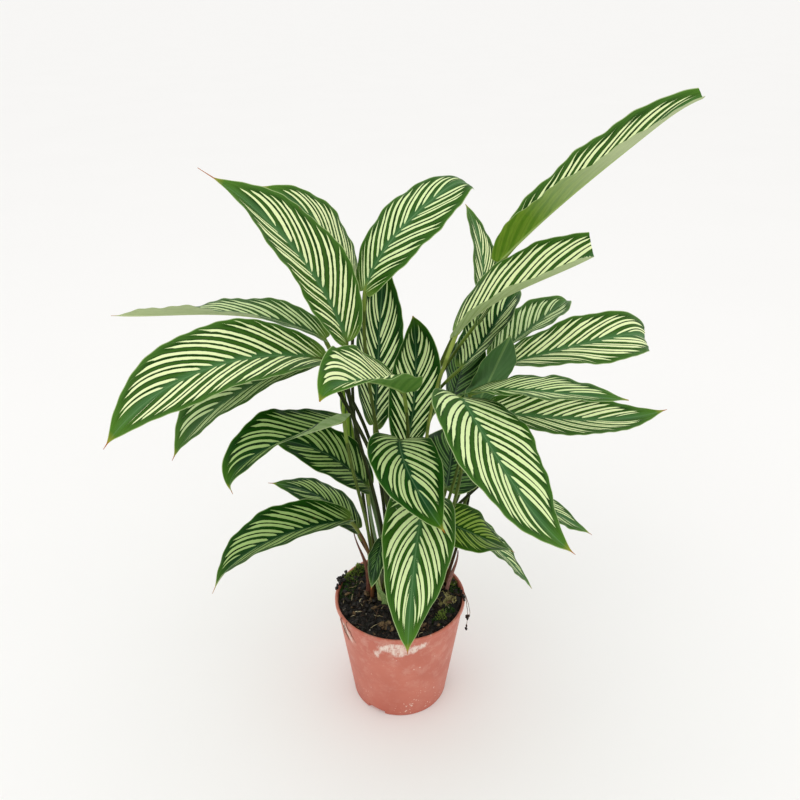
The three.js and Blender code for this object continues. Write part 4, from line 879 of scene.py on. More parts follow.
def potFinish():
    # Injection-moulded polypropylene coloured as terracotta: matt with a faint sheen, a fine spark-eroded
    # grain, slightly chalky where hard water has dried on it in streaks, paler towards the rim.
    material, tree, skin = newFinish("terracottaPolypropylene", 0.52, 1.49)
    coords = addNode(tree, "TexCoord").outputs["Object"]
    lime = addNode(tree, "Attribute", attribute_name="lime").outputs["Fac"]
    cloud = addNode(tree, "TexNoise", {"Vector": coords, "Scale": 28.0, "Detail": 3.0})
    plain, plainLight = [linear(c) for c in potColours["plain"]]
    colour = washOver(tree, plain, plainLight, cloud, 0.35, 0.65)
    up = addNode(tree, "SeparateXYZ", {0: coords}).outputs[2]
    # darker towards the foot: painted shade low on the wall, next to the floor
    colour = washOver(tree, colour, linear(potColours["foot"]), up, 0.04, 0.0, 0.35)
    # streaks about 1.5 mm wide that run down the wall
    runs = addNode(tree, "Mapping", {"Vector": coords, "Scale": (1.0, 1.0, 0.45)})
    streaks = addNode(tree, "TexNoise", {"Vector": runs, "Scale": 330.0, "Detail": 5.0, "Roughness": 0.75})
    chalk = addNode(tree, "Math", {0: lime, 1: streaks.outputs[0]}, operation="MULTIPLY")
    chalk = addNode(tree, "MapRange", {"Value": chalk, "From Min": 0.28, "From Max": 0.58, "To Max": 0.95},
                    interpolation_type="SMOOTHSTEP")
    colour = addNode(tree, "MixRGB", {0: chalk, 1: colour, 2: linear(potColours["chalk"])})
    # thin veil of lime over the upper wall
    veilNoise = addNode(tree, "TexNoise", {"Vector": coords, "Scale": 90.0, "Detail": 5.0, "Roughness": 0.7})
    veil = addNode(tree, "MapRange", {"Value": veilNoise, "From Min": 0.48, "From Max": 0.78, "To Max": 0.6})
    upper = addNode(tree, "MapRange", {"Value": up, "From Min": 0.02, "From Max": 0.10, "To Min": 0.25})
    veil = addNode(tree, "Math", {0: veil, 1: upper}, operation="MULTIPLY")
    colour = addNode(tree, "MixRGB", {0: veil, 1: colour, 2: linear(potColours["veil"])})
    # splashes: specks of lime 1 to 2 mm wide, in loose groups on the lower wall
    specks = addNode(tree, "TexNoise", {"Vector": coords, "Scale": 430.0, "Detail": 1.0})
    groups = addNode(tree, "TexNoise", {"Vector": coords, "Scale": 55.0, "Detail": 1.0})
    speck = addNode(tree, "Math", {0: groups.outputs[0], 1: 0.42, 2: specks.outputs[0]},
                    operation="MULTIPLY_ADD")
    lower = addNode(tree, "MapRange",
                    {"Value": up, "From Min": 0.045, "From Max": 0.02, "To Min": 0.06, "To Max": 0.0})
    speck = addNode(tree, "Math", {0: speck, 1: lower}, operation="SUBTRACT")
    colour = washOver(tree, colour, linear(potColours["splash"]), speck, 0.93, 0.965, 0.8)
    tree.links.new(colour.outputs[0], skin.inputs["Base Color"])
    rough = addNode(tree, "MapRange", {"Value": chalk, "To Min": 0.50, "To Max": 0.85})
    tree.links.new(rough.outputs[0], skin.inputs["Roughness"])
    grain = addNode(tree, "TexNoise", {"Vector": coords, "Scale": 1600.0, "Detail": 2.0})
    bump = addNode(tree, "Bump", {"Height": grain, "Strength": 0.25, "Distance": 0.0002})
    bump = addNode(tree, "Bump", {"Height": chalk, "Strength": 0.4, "Distance": 0.0002, "Normal": bump})
    tree.links.new(bump.outputs[0], skin.inputs["Normal"])
    return material


def cutHoles(piece):
    # drainage holes through the floor, cut with a throwaway cutter of closed round plugs that reach
    # from 2 mm below the ground to 4 mm above it
    turn = np.radians(np.arange(pot["holes"]) * 360 / pot["holes"])
    x, y = pot["holeCircle"] * np.cos(turn), pot["holeCircle"] * np.sin(turn)
    paths = np.stack([np.stack([x, y, np.full(len(x), z)], -1) for z in (-2.0, 1.0, 4.0)], 1)
    corners, quads, caps = tubes(paths, np.full((len(x), 3), pot["holeRadius"]), 28, np.array([1.0, 0, 0]))
    mesh = bpy.data.meshes.new("holeCutter")
    mesh.from_pydata((corners * 0.001).tolist(), [], quads.tolist() + caps.tolist())
    cutter = bpy.data.objects.new("holeCutter", mesh)
    bpy.context.scene.collection.objects.link(cutter)
    cut = piece.modifiers.new("holes", "BOOLEAN")
    cut.operation = "DIFFERENCE"
    cut.object = cutter
    cut.solver = "EXACT"
    bpy.context.view_layer.update()
    graph = bpy.context.evaluated_depsgraph_get()
    done = bpy.data.meshes.new_from_object(piece.evaluated_get(graph))
    piece.modifiers.clear()
    old = piece.data
    piece.data = done
    bpy.data.meshes.remove(old)
    bpy.data.objects.remove(cutter)
    bpy.data.meshes.remove(mesh)


potCorners, potQuads, potCaps = potGrid()
potPiece = addPiece("pot_fine", potCorners, [(potQuads, 0), (potCaps, 0)], [potFinish()],
                    replaces=["pot"])
cutHoles(potPiece)
potPlaces = np.zeros(len(potPiece.data.vertices) * 3, np.float32)
potPiece.data.vertices.foreach_get("co", potPlaces)
potPlaces = potPlaces.reshape(-1, 3) * 1000
limeShare = np.zeros(len(potPlaces))
for place, size, strength in limeMarks:
    away = potPlaces - np.array(place, float)
    limeShare += strength * np.exp(-(away ** 2).sum(-1) / size ** 2)
limeLayer = potPiece.data.attributes.new("lime", "FLOAT", "POINT")
limeLayer.data.foreach_set("value", np.clip(limeShare, 0, 1).astype(np.float32))
potPiece.data.set_sharp_from_angle(angle=math.radians(48))
print("stage: pot made,", len(potPiece.data.polygons), "faces")


# Soil, and what lies on it

soil = {
    "top": 104.9,     # mm, as all sizes here
    "bottom": 2.15,
    "relief": 1.1,    # height of the packed soil's low swell
    "lumps": ((8.0, 1.3, 3), (4.2, 1.2, 5), (1.9, 0.6, 7)),  # across, high, seed
    "gap": 0.2,       # between soil and pot
    "rings": 78,
    "sectors": 236,
    "reach": 55.0,    # distance from the axis that litter keeps within
    "crumbs": 620,
    "darkFibres": 150,
    "strawFibres": 52,
    "flakes": 130,
    "grit": 26,
}


def newPeatFinish(name, dark, light, roughness, gloss, grainPerMetre, bumpMm):
    # Moist sphagnum peat and bark: nearly black, crumbly, dull with small wet glints
    material, tree, skin = newFinish(name, roughness, gloss=gloss)
    coords = addNode(tree, "TexCoord").outputs["Object"]
    clumps = addNode(tree, "TexNoise", {"Vector": coords, "Scale": grainPerMetre, "Detail": 5.0,
                                        "Roughness": 0.65})
    colour = washOver(tree, linear(dark), linear(light), clumps, 0.38, 0.68)
    wet = addNode(tree, "TexNoise", {"Vector": coords, "Scale": grainPerMetre * 0.6, "Detail": 2.0})
    rough = addNode(tree, "MapRange", {"Value": wet.outputs[0], "From Min": 0.35, "From Max": 0.65,
                                       "To Min": roughness - 0.3, "To Max": roughness + 0.1})
    tree.links.new(rough.outputs[0], skin.inputs["Roughness"])
    closeFinish(tree, skin, colour, clumps, 0.9, bumpMm)
    return material


def newMossFinish(name, dark, light):
    # Cushion moss: tiny soft leaves about 1 mm long, matt, yellow-green at the tips and dark between
    material, tree, skin = newFinish(name, 0.75, gloss=0.25)
    coords = addNode(tree, "TexCoord").outputs["Object"]
    tuft = addNode(tree, "TexNoise", {"Vector": coords, "Scale": 420.0, "Detail": 3.0})
    tip = markParts(tree, "tuft")[0]
    share = addNode(tree, "Math", {0: tuft.outputs[0], 1: tip}, operation="MULTIPLY")
    colour = washOver(tree, linear(dark), linear(light), share, 0.12, 0.55)
    closeFinish(tree, skin, colour, tuft, 0.5, 0.3)
    return material


def newFibreFinish(name, dark, light, roughness):
    # Dry roots and plant fibre: straw to dark brown, changing along its length
    material, tree, skin = newFinish(name, roughness, gloss=0.3)
    coords = addNode(tree, "TexCoord").outputs["Object"]
    change = addNode(tree, "TexNoise", {"Vector": coords, "Scale": 150.0, "Detail": 3.0})
    colour = washOver(tree, linear(dark), linear(light), change, 0.35, 0.65)
    closeFinish(tree, skin, colour, change, 0.4, 0.3)
    return material


peatFinish = newPeatFinish("moistPeat", "#040303", "#1F1812", 0.72, 0.4, 330.0, 1.4)
crumbFinish = newPeatFinish("peatCrumb", "#060504", "#2A2018", 0.70, 0.45, 600.0, 0.5)
barkFinish = newPeatFinish("pineBark", "#35271A", "#8F7452", 0.78, 0.3, 420.0, 0.8)
gritFinish = newPeatFinish("perliteAndGrit", "#8C8478", "#CFC8BA", 0.80, 0.3, 700.0, 0.4)
mossFinish = newMossFinish("cushionMoss", "#1E300C", "#8FA648")
darkMossFinish = newMossFinish("darkMoss", "#12220C", "#486A2C")
tanMossFinish = newMossFinish("dryMoss", "#5A5228", "#C6BC80")
darkFibreFinish = newFibreFinish("darkRoot", "#1C130C", "#554030", 0.65)
paleFibreFinish = newFibreFinish("strawFibre", "#8A774F", "#DACDA6", 0.6)
rootFinish = newFibreFinish("dryRoot", "#3A2418", "#8A6048", 0.6)

# Raised cushions of moss and loose heaps: place across, radius and height in mm.
mounds = (
    ((-50, 24), 11, 4.4), ((-40, 37), 10, 4.0), ((-56, 6), 8, 1.8), ((45, 25), 9, 2.4), ((42, -2), 9, 4.6),
    ((38, -26), 7, 1.6), ((-12, -38), 7, 1.8), ((52, -8), 7, 2.2), ((-30, -30), 9, 1.4), ((12, -44), 9, 1.2),
    ((0, 5), 18, 2.0), ((-22, 8), 12, 2.2), ((32, 14), 12, 2.2),
)


def soilHeight(x, y):
    # the packed soil's low swell, mounds of moss and loose crumb, and lumps of three sizes on it: the
    # coarse are rounded, the others have ridges, 1 less twice the distance of the noise from 0
    swell = np.sin(x / 9 + 1.2) * np.cos(y / 8 - 0.4) + 0.6 * np.sin(x / 4.3 - y / 5.1)
    edge = np.clip((pot["rimRadius"] - np.hypot(x, y)) / 12, 0, 1)
    flat = np.stack(np.broadcast_arrays(x, y, 0.0), -1)
    height = soil["top"] + soil["relief"] * swell * edge
    for number, (across, high, seed) in enumerate(soil["lumps"]):
        bumps = lumpy(flat, across, seed)
        height = height + high * (bumps if number == 0 else 1 - np.abs(bumps) * 2)
    for (mx, my), size, rise in mounds:
        height = height + rise * np.exp(-((x - mx) ** 2 + (y - my) ** 2) / (size * 0.7) ** 2)
    return height


def soilGrid():
    # a height over a round grid, drawn down the wall of the pot and closed underneath
    gap, corner, bottom = soil["gap"], pot["corner"], soil["bottom"]
    radii = np.linspace(0.8, insideRadius(104.0, gap), soil["rings"])
    turn = np.linspace(0, 2 * np.pi, soil["sectors"], endpoint=False)
    x, y = radii[:, None] * np.cos(turn), radii[:, None] * np.sin(turn)
    rings = [np.stack([x, y, soilHeight(x, y)], -1)]
    low = insideRadius(corner, gap) - corner + pot["floor"] + gap
    down = [(insideRadius(z, gap), z) for z in (90.0, 60.0, 30.0)]
    for radius, z in down + [(insideRadius(8.0, gap) - 0.1, 8.0), (low, bottom)]:
        rings.append(np.stack([radius * np.cos(turn), radius * np.sin(turn), np.full(len(turn), z)],
                              -1)[None])
    rings = np.concatenate(rings)
    n, m = rings.shape[:2]
    i, j = np.arange(n - 1)[:, None] * m, np.arange(m)
    following = (j + 1) % m
    quads = np.stack([i + j, i + m + j, i + m + following, i + following], -1).reshape(-1, 4)
    poles = np.array([[0, 0, float(soilHeight(np.array(0.0), np.array(0.0)))], [0, 0, bottom]])
    top = np.stack([np.full(m, n * m), j, following], -1)
    last = (n - 1) * m
    under = np.stack([np.full(m, n * m + 1), last + following, last + j], -1)
    return np.concatenate([rings.reshape(-1, 3), poles]), [(quads, 0), (np.concatenate([top, under]), 0)]


soilCorners, soilFaces = soilGrid()
addPiece("soil_fine", soilCorners, soilFaces, [peatFinish], replaces=["soil"])


def lumps(places, sizes, turns, seed, squash=0.75, jag=0.28):
    # many small closed lumps at once: a cube of 2 by 2 faces a side drawn to a ball, each pushed in and
    # out by a smooth random amount, flattened, turned and put in its place
    u = np.array([-1.0, 0.0, 1.0])
    grid = np.array([[a, b, c] for a in u for b in u for c in u if max(abs(a), abs(b), abs(c)) == 1])
    number = {tuple(p): k for k, p in enumerate(grid)}
    faces = []
    for axis in range(3):
        for sign in (-1.0, 1.0):
            for a in (-1.0, 0.0):
                for b in (-1.0, 0.0):
                    ring = []
                    for da, db in ((0, 0), (1, 0), (1, 1), (0, 1)):
                        p = [0.0, 0.0, 0.0]
                        p[axis], p[(axis + 1) % 3], p[(axis + 2) % 3] = sign, a + da, b + db
                        ring.append(number[tuple(p)])
                    faces.append(ring if sign > 0 else ring[::-1])
    ball = unit(grid)
    places, sizes, turns = np.asarray(places, float), np.asarray(sizes, float), np.asarray(turns, float)
    count = len(places)
    shift = np.arange(count)[:, None, None] * 17.3  # a stretch of noise for each
    push = 1 + jag * lumpy(ball[None] * 1.3 + shift, 1.0, seed) * 1.6
    shape = ball[None] * push[..., None] * sizes[:, None]
    shape = shape * np.array([1, 1, squash])
    c, s = np.cos(turns[:, 0]), np.sin(turns[:, 0])
    c, s = c[:, None], s[:, None]
    x = shape[..., 0] * c - shape[..., 1] * s
    y = shape[..., 0] * s + shape[..., 1] * c
    tip, tipSine = np.cos(turns[:, 1])[:, None], np.sin(turns[:, 1])[:, None]
    z = shape[..., 2] * tip + x * tipSine
    x = x * tip - shape[..., 2] * tipSine
    corners = np.stack([x, y, z], -1) + places[:, None]
    quads = (np.array(faces)[None] + np.arange(count)[:, None, None] * len(grid)).reshape(-1, 4)
    return corners.reshape(-1, 3), quads


def scattered(count, seed, reach=soil["reach"]):
    # seeded places over the soil, even by area
    chance = np.random.default_rng(seed)
    radius = reach * np.sqrt(chance.random(count))
    angle = chance.random(count) * 2 * np.pi
    x, y = radius * np.cos(angle), radius * np.sin(angle)
    return chance, x, y, soilHeight(x, y)


def addCrumbs():
    # sizes in mm are the smallest plus a share, raised to a power, of the spread, so most are small
    chance, x, y, z = scattered(soil["crumbs"], 11)
    size = 0.7 + 2.1 * chance.random(len(x)) ** 2.5
    sizes = size[:, None] * (0.75 + 0.5 * chance.random((len(x), 3)))
    places = np.stack([x, y, z + 0.25 * size], -1)
    turns = chance.random((len(x), 2)) * [2 * np.pi, 1.0]
    corners, quads = lumps(places, sizes, turns, 21)
    addPiece("peat_crumbs", corners, [(quads, 0)], [crumbFinish])
    # flat flakes of bark and leaf mould, lying at slight angles
    chance, x, y, z = scattered(soil["flakes"], 12)
    size = 1.2 + 2.6 * chance.random(len(x)) ** 1.6
    sizes = size[:, None] * np.stack([np.full(len(x), 1.25), 0.45 + 0.4 * chance.random(len(x)),
                                      0.22 + 0.2 * chance.random(len(x))], -1)
    turns = chance.random((len(x), 2)) * [2 * np.pi, 1.2] - [0, 0.6]
    corners, quads = lumps(np.stack([x, y, z + 0.7], -1), sizes, turns, 22, squash=1.0, jag=0.2)
    darkOnes = len(quads) * 3 // 4
    faceSets = [(quads[:darkOnes], 0), (quads[darkOnes:], 1)]
    addPiece("bark_flakes", corners, faceSets, [crumbFinish, barkFinish])
    # pale grit, much smaller and rarer
    chance, x, y, z = scattered(soil["grit"], 13)
    size = 0.45 + 0.5 * chance.random((len(x), 3))
    corners, quads = lumps(np.stack([x, y, z + 0.4], -1), size, chance.random((len(x), 2)) * 3, 23)
    addPiece("pale_grit", corners, [(quads, 0)], [gritFinish])


def addBark():
    # larger pieces: place, half sizes and turn, as they lie in the pot
    pieces = (
        ((-12, -38, 107.2), (6.4, 3.6, 2.6), (0.4, 0.25)), ((-7, -42, 106.4), (3.6, 2.4, 2.0), (1.3, -0.2)),
        ((-31, 3, 107.6), (2.2, 6.6, 1.8), (0.3, 0.5)), ((-27, -6, 106.6), (1.5, 4.6, 1.2), (-0.4, 0.3)),
        ((20, -37, 106.2), (4.2, 1.7, 1.2), (0.9, -0.3)), ((-24, -16, 106.4), (4.8, 1.5, 1.2), (0.8, 0.3)),
        ((6, -47, 105.6), (3.2, 1.6, 1.1), (2.4, 0.1)), ((33, -36, 106.0), (3.4, 1.9, 1.3), (-0.7, 0.2)),
        ((-42, -22, 106.2), (3.8, 1.4, 1.1), (-0.9, -0.3)), ((15, 40, 107.0), (5.2, 2.4, 1.6), (0.2, 0.2)),
        ((-18, 46, 106.6), (4.0, 2.2, 1.5), (1.9, -0.2)), ((40, 12, 107.0), (3.6, 1.8, 1.4), (0.9, 0.3)),
    )
    places, sizes, turns = [np.array([p[k] for p in pieces], float) for k in range(3)]
    # each piece is broken up: three overlapping lumps make one rough chip
    chance = np.random.default_rng(14)
    places, sizes, turns = [np.repeat(values, 3, 0) for values in (places, sizes, turns)]
    places = places + chance.normal(size=places.shape) * sizes * 0.22
    sizes = sizes * (0.6 + 0.4 * chance.random((len(sizes), 1)))
    turns = turns + chance.normal(size=turns.shape) * 0.25
    corners, quads = lumps(places, sizes, turns, 24, squash=1.0, jag=0.32)
    addPiece("bark_chips", corners, [(quads, 0)], [barkFinish])


def fibreWays(chance, x, y, z, lengths, steps, arch):
    # each fibre sets off in its own direction, bends evenly, and lifts off the ground in the middle
    share = np.linspace(-0.5, 0.5, steps)
    heading = chance.random(len(x)) * 2 * np.pi
    bend = chance.normal(size=len(x)) * 1.6
    angle = heading[:, None] + bend[:, None] * share
    step = lengths[:, None] / (steps - 1)
    dx, dy = np.cos(angle) * step, np.sin(angle) * step
    px = x[:, None] + np.cumsum(dx, 1) - dx.sum(1)[:, None] / 2
    py = y[:, None] + np.cumsum(dy, 1) - dy.sum(1)[:, None] / 2
    away = np.hypot(px, py)
    hold = np.minimum(1, 55.5 / np.maximum(away, 1))
    px, py = px * hold, py * hold
    ground = soilHeight(px, py)
    level = z[:, None] + (arch * chance.random(len(x)))[:, None] * (1 - 4 * share ** 2)
    pz = np.maximum(ground + 0.25, level * 0.5 + ground * 0.5 + 0.3)
    return np.stack([px, py, pz], -1)


def addFibres():
    # thin round fibres 5 mm long and more, each tapered to both ends
    taper = np.array([0.4, 0.8, 1, 1, 1, 1, 0.9, 0.7, 0.3])
    for name, count, seed, finish, thick, longest in (
            ("dark_fibres", soil["darkFibres"], 15, darkFibreFinish, 0.30, 20.0),
            ("straw_fibres", soil["strawFibres"], 16, paleFibreFinish, 0.28, 12.0)):
        chance, x, y, z = scattered(count, seed, soil["reach"] - 2)
        lengths = 5 + (longest - 5) * chance.random(count)
        ways = fibreWays(chance, x, y, z, lengths, len(taper), 4.0)
        radii = thick * (0.6 + 0.8 * chance.random(count))[:, None] * taper
        corners, quads, caps = tubes(ways, radii, 5, np.array([0.02, 0.03, 1.0]))
        addPiece(name, corners, [(quads, 0), (caps, 0)], [finish])


def mossTufts(places, spread, heights, count, seed):
    # shoots of moss: short tapered blades that stand out from the cushion, leaning outwards
    chance = np.random.default_rng(seed)
    roots, leans, tall = [], [], []
    for (px, py), wide, high in zip(places, spread, heights):
        radius = wide * np.sqrt(chance.random(count))
        angle = chance.random(count) * 2 * np.pi
        x, y = px + radius * np.cos(angle), py + radius * np.sin(angle)
        away = np.hypot(x, y)
        hold = np.minimum(1, 56.0 / np.maximum(away, 1))
        x, y = x * hold, y * hold
        roots.append(np.stack([x, y, soilHeight(x, y) - 0.3], -1))
        leans.append(np.stack([np.cos(angle), np.sin(angle)], -1) * (radius / wide)[:, None])
        tall.append(high * (0.55 + 0.6 * chance.random(count)))
    roots, leans, tall = np.concatenate(roots), np.concatenate(leans), np.concatenate(tall)
    leans = leans + chance.normal(size=leans.shape) * 0.45
    share = np.array([0, 0.35, 0.7, 1.0])
    ways = np.repeat(roots[:, None], 4, 1)
    ways[..., :2] += leans[:, None] * (share ** 1.6)[:, None] * tall[:, None, None] * 0.75
    ways[..., 2] += share * tall[:, None]
    radii = 0.38 * (0.8 + 0.4 * chance.random(len(roots)))[:, None] * np.array([0.7, 1.0, 0.8, 0.15])
    corners, quads, caps = tubes(ways, radii, 4, np.array([1.0, 0.05, 0.02]))
    tip = np.concatenate([np.repeat(share, 4), [0.0, 1.0]])
    return corners, quads, caps, np.tile(tip, len(roots))


def addMoss():
    # cushions: places, how wide and how high in mm, shoots in each, seed
    cushions = {
        "moss_cushions": (mossFinish,
                          [(-51, 25), (-44, 33), (-38, 40), (-30, 45), (45, 26), (49, 19), (38, -27)],
                          [6.5, 6, 5.5, 5, 5, 4.5, 5], [2.6, 2.6, 2.4, 2.0, 2.0, 1.8, 1.8], 170, 31),
        "dark_moss": (darkMossFinish,
                      [(-55, 12), (-50, 2), (-46, 18), (-33, 33), (52, 8), (44, -18), (33, -33)],
                      [6, 6.5, 6, 6, 5, 5, 4.5], [2.2, 1.8, 2.2, 2.2, 1.6, 1.8, 1.4], 130, 32),
        "dry_moss": (tanMossFinish, [(41, -1), (46, -6), (36, 2), (40, -8)], [7, 5.5, 5, 5],
                     [1.7, 1.5, 1.4, 1.4], 260, 33),
    }
    for name, (finish, places, spread, heights, count, seed) in cushions.items():
        corners, quads, caps, tip = mossTufts(places, spread, heights, count, seed)
        marks = {"tuft": np.stack([tip, tip, tip], -1)}
        addPiece(name, corners, [(quads, 0), (caps, 0)], [finish], marks)


def rimRootWays():
    # thin dry roots over the rim: one hangs on the right, a few lie against the wall on the left. They
    # are drawn through ten points each, smoothed three times and kept clear of the wall
    hang = np.array([[50, 4, 106.5], [55, 0, 107.5], [58.6, -3, 109.6], [60.8, -4, 108.4], [62.0, -5, 103.5],
                     [62.6, -6, 97.5], [63.1, -6.6, 92.0], [62.7, -7, 86.5], [62.3, -7, 80.0],
                     [62.0, -7.2, 73.5]])
    side = np.array([[57.2, 3, 108.0], [59.3, 1.5, 109.7], [61.2, 0, 108.0], [62.6, -1.5, 104.0],
                     [63.6, -3.6, 101.5],
                     [64.6, -6, 98.5], [65.0, -7.5, 94.0], [64.6, -8, 90.5], [64.1, -8.2, 88.0],
                     [64.4, -8.6, 86.0]])
    left = [np.array([[-56, -14, 107.6], [-58.4, -15.4, 109.2], [-59.6, -16.4, 107.6], [-59.0, -17.6, 104.6],
                      [-58.2, -18.4, 101.6], [-57.2, -19.4, 98.6], [-56.2, -20.4, 95.4], [-55.6, -21.0, 92.4],
                      [-54.8, -21.8, 90.0], [-54.4, -22.6, 87.8]])]
    left.append(left[0] + [2.4, -7.4, 0.4] + np.linspace(0, 1, 10)[:, None] * np.array([2.4, -1.6, 3.0]))
    left.append(left[0] + np.linspace(0, 1, 10)[:, None] ** 2 * np.array([-2.2, 5.6, 4.0]))
    left.append(left[0][::-1] + np.linspace(0, 1, 10)[:, None] * np.array([3.0, -4.6, -3.0]))
    # the left roots come over the rim 16 degrees further to the front than they are drawn
    turned = np.radians(16)
    spin = np.array([[np.cos(turned), np.sin(turned), 0], [-np.sin(turned), np.cos(turned), 0], [0, 0, 1]])
    ways = np.stack([hang, side] + [way @ spin for way in left])
    fine = np.linspace(0, 9, 28)
    ways = [[np.interp(fine, np.arange(10), way[:, k]) for k in range(3)] for way in ways]
    ways = np.stack(ways).transpose(0, 2, 1)
    for _ in range(3):
        ways[:, 1:-1] = ways[:, :-2] / 4 + ways[:, 1:-1] / 2 + ways[:, 2:] / 4
    away = np.hypot(ways[..., 0], ways[..., 1])
    clear = np.where(ways[..., 2] < 109.2, wallRadius(ways[..., 2]) + 1.3, away)
    outside = (away > 58.5) & (away < clear)
    ways[..., :2] *= np.where(outside, clear / away, 1)[..., None]
    return ways + np.stack([lumpy(ways + 50 * k, 3.0, 41 + k) for k in range(3)], -1) * 0.7


def onRim(angle, radius, z):
    # a place by its angle round the pot in degrees, its distance from the axis and its height
    return radius * math.cos(math.radians(angle)), radius * math.sin(math.radians(angle)), z


def addRimRoots():
    # the roots as thinning tubes, two crumbs in the one that hangs, and spilled crumbs on the rim
    ways = rimRootWays()
    thick = np.array([0.42, 0.34, 0.36, 0.30, 0.28, 0.3])
    radii = thick[:, None] * np.linspace(1, 0.45, ways.shape[1])
    corners, quads, caps = tubes(ways, radii, 6, np.array([0.1, 1.0, 0.05]))
    addPiece("rim_roots", corners, [(quads, 0), (caps, 0)], [rootFinish])
    chance = np.random.default_rng(44)
    hanging = ways[0]
    knots = [(hanging[20], 1.9), (hanging[21] + [0.3, 0, -1.4], 1.4),
             (hanging[27], 1.7), (hanging[26] + [0, 0.3, 0.8], 1.1)]
    knots += [((57.6, -1.5, 108.8), 2.4), ((59.2, -4.6, 109.4), 1.9),
              ((57.0, 3.5, 108.4), 2.2), ((58.8, -8.0, 108.6), 1.6)]
    for angle in np.linspace(148, 172, 15):
        radius = 58.8 + chance.normal() * 1.4
        z = 109.3 + abs(chance.normal()) * 0.9
        knots.append((onRim(angle, radius, z), 1.2 + 1.1 * chance.random()))
    for angle, radius, z, size in ((159, 61.4, 109.2, 1.9), (161, 62.6, 109.8, 1.5), (157, 62.2, 108.7, 1.3),
                                   (163, 60.9, 110.4, 1.7), (160, 60.0, 110.9, 1.5), (155, 60.4, 109.8, 1.6)):
        knots.append((onRim(angle, radius, z), size))
    places = np.array([k[0] for k in knots], float)
    sizes = np.array([k[1] for k in knots])[:, None] * (0.75 + 0.5 * chance.random((len(knots), 3)))
    corners, quads = lumps(places, sizes, chance.random((len(knots), 2)) * 2, 25)
    addPiece("rim_crumbs", corners, [(quads, 0)], [crumbFinish])


addCrumbs()
addBark()
addFibres()
addMoss()
addRimRoots()
print("stage: soil made")


# Stems without a blade

# foot, knee, lean and joint are as for a leaf; the radius in mm is even up to the share taper, then
# falls evenly to the share end of itself. ribs and split: how deep a sheath is ribbed, and how far its
# tip is drawn to one side. finish: name, dark, light, roughness.
stems = {
    "furledLeaf": {"foot": (-12, 24), "knee": (-10, 24), "lean": 0.55, "joint": (-47, 26, 323), "radius": 3.1,
                   "taper": 0.8, "end": 0.2, "turns": 1.6, "overlap": 0.22},
    "sheathLeft": {"foot": (-30, 5), "knee": (3, 3), "lean": 0.35, "joint": (-41, 0, 179), "radius": 1.5,
                   "taper": 0.3, "end": 0.35, "ribs": 0.10, "split": 0.35, "slot": "dry_sheath",
                   "node": "dry_sheath_left", "finish": ("drySheathBrown", "#4A2A1E", "#8A5A48", 0.7)},
    "sheathRight": {"foot": (44, 9), "knee": (1, 0), "lean": 0.05, "joint": (54, 22, 142), "radius": 1.4,
                    "taper": 0.4, "end": 0.4, "ribs": 0.10, "split": 0.35, "slot": "dry_sheath",
                    "node": "dry_sheath_right", "finish": ("drySheathPink", "#7A4A40", "#B98A80", 0.7)},
    "youngShoot": {"foot": (-18, -4), "knee": (-1, -2), "lean": 0.45, "joint": (-19, 0, 142), "radius": 2.0,
                   "taper": 0.2, "end": 0.25, "ribs": 0.04, "split": 0.12, "slot": "young_shoot",
                   "node": "young_shoot", "finish": ("youngShootSkin", "#9FA85E", "#CCD196", 0.5)},
    "shootStub": {"foot": (-14, -10), "knee": (1, 0), "lean": 0.15, "joint": (-21, -10, 134), "radius": 2.2,
                  "taper": 0.7, "end": 0.7, "ribs": 0.05, "split": 0.10, "slot": "young_shoot",
                  "node": "shoot_stub", "finish": ("shootStubSkin", "#5E7E40", "#93AC6A", 0.5)},
}


def stemPath(stem, steps):
    # the stem's curve, sunk straight into the soil, with the share of its way and its radius at each step
    up = np.array([0, 0, 1.0])
    way = stalkWay(stem["foot"], stem["knee"], stem["lean"], stem["joint"], up, np.linspace(0, 1, steps))
    sunk = way[0] - up * np.array([[leafMake["stalkSunk"]], [leafMake["stalkSunk"] / 2]])
    shares = np.concatenate([[0, 0], np.linspace(0, 1, steps)])
    taper, end = stem["taper"], stem["end"]
    radius = stem["radius"] * np.where(shares < taper, 1, 1 - (1 - end) * (shares - taper) / (1 - taper))
    return np.concatenate([sunk, way]), shares, radius


def stemMarks(shares, sides, turn, spiral=0.0):
    # marks for the finish: round the stem as cosine and sine with three times the way up, and the way
    # up with the share of the turn
    angle = turn[None] - spiral * 2 * np.pi * shares[:, None]
    vein = np.stack([np.cos(angle), np.sin(angle), np.repeat(shares[:, None], sides, 1) * 3], -1)
    place = np.stack(np.broadcast_arrays(shares[:, None], (angle / (2 * np.pi)) % 1, 0.0), -1)
    vein, place = vein.reshape(-1, 3), place.reshape(-1, 3)
    return {"vein": np.concatenate([vein, vein[[0, -1]]]), "place": np.concatenate([place, place[[0, -1]]])}


furledColours = {
    "blade": ("#6F9420", "#9CB848"),
    "band": "#25480C",
    "stalk": ("#4E6E38", "#8AA070"),
}


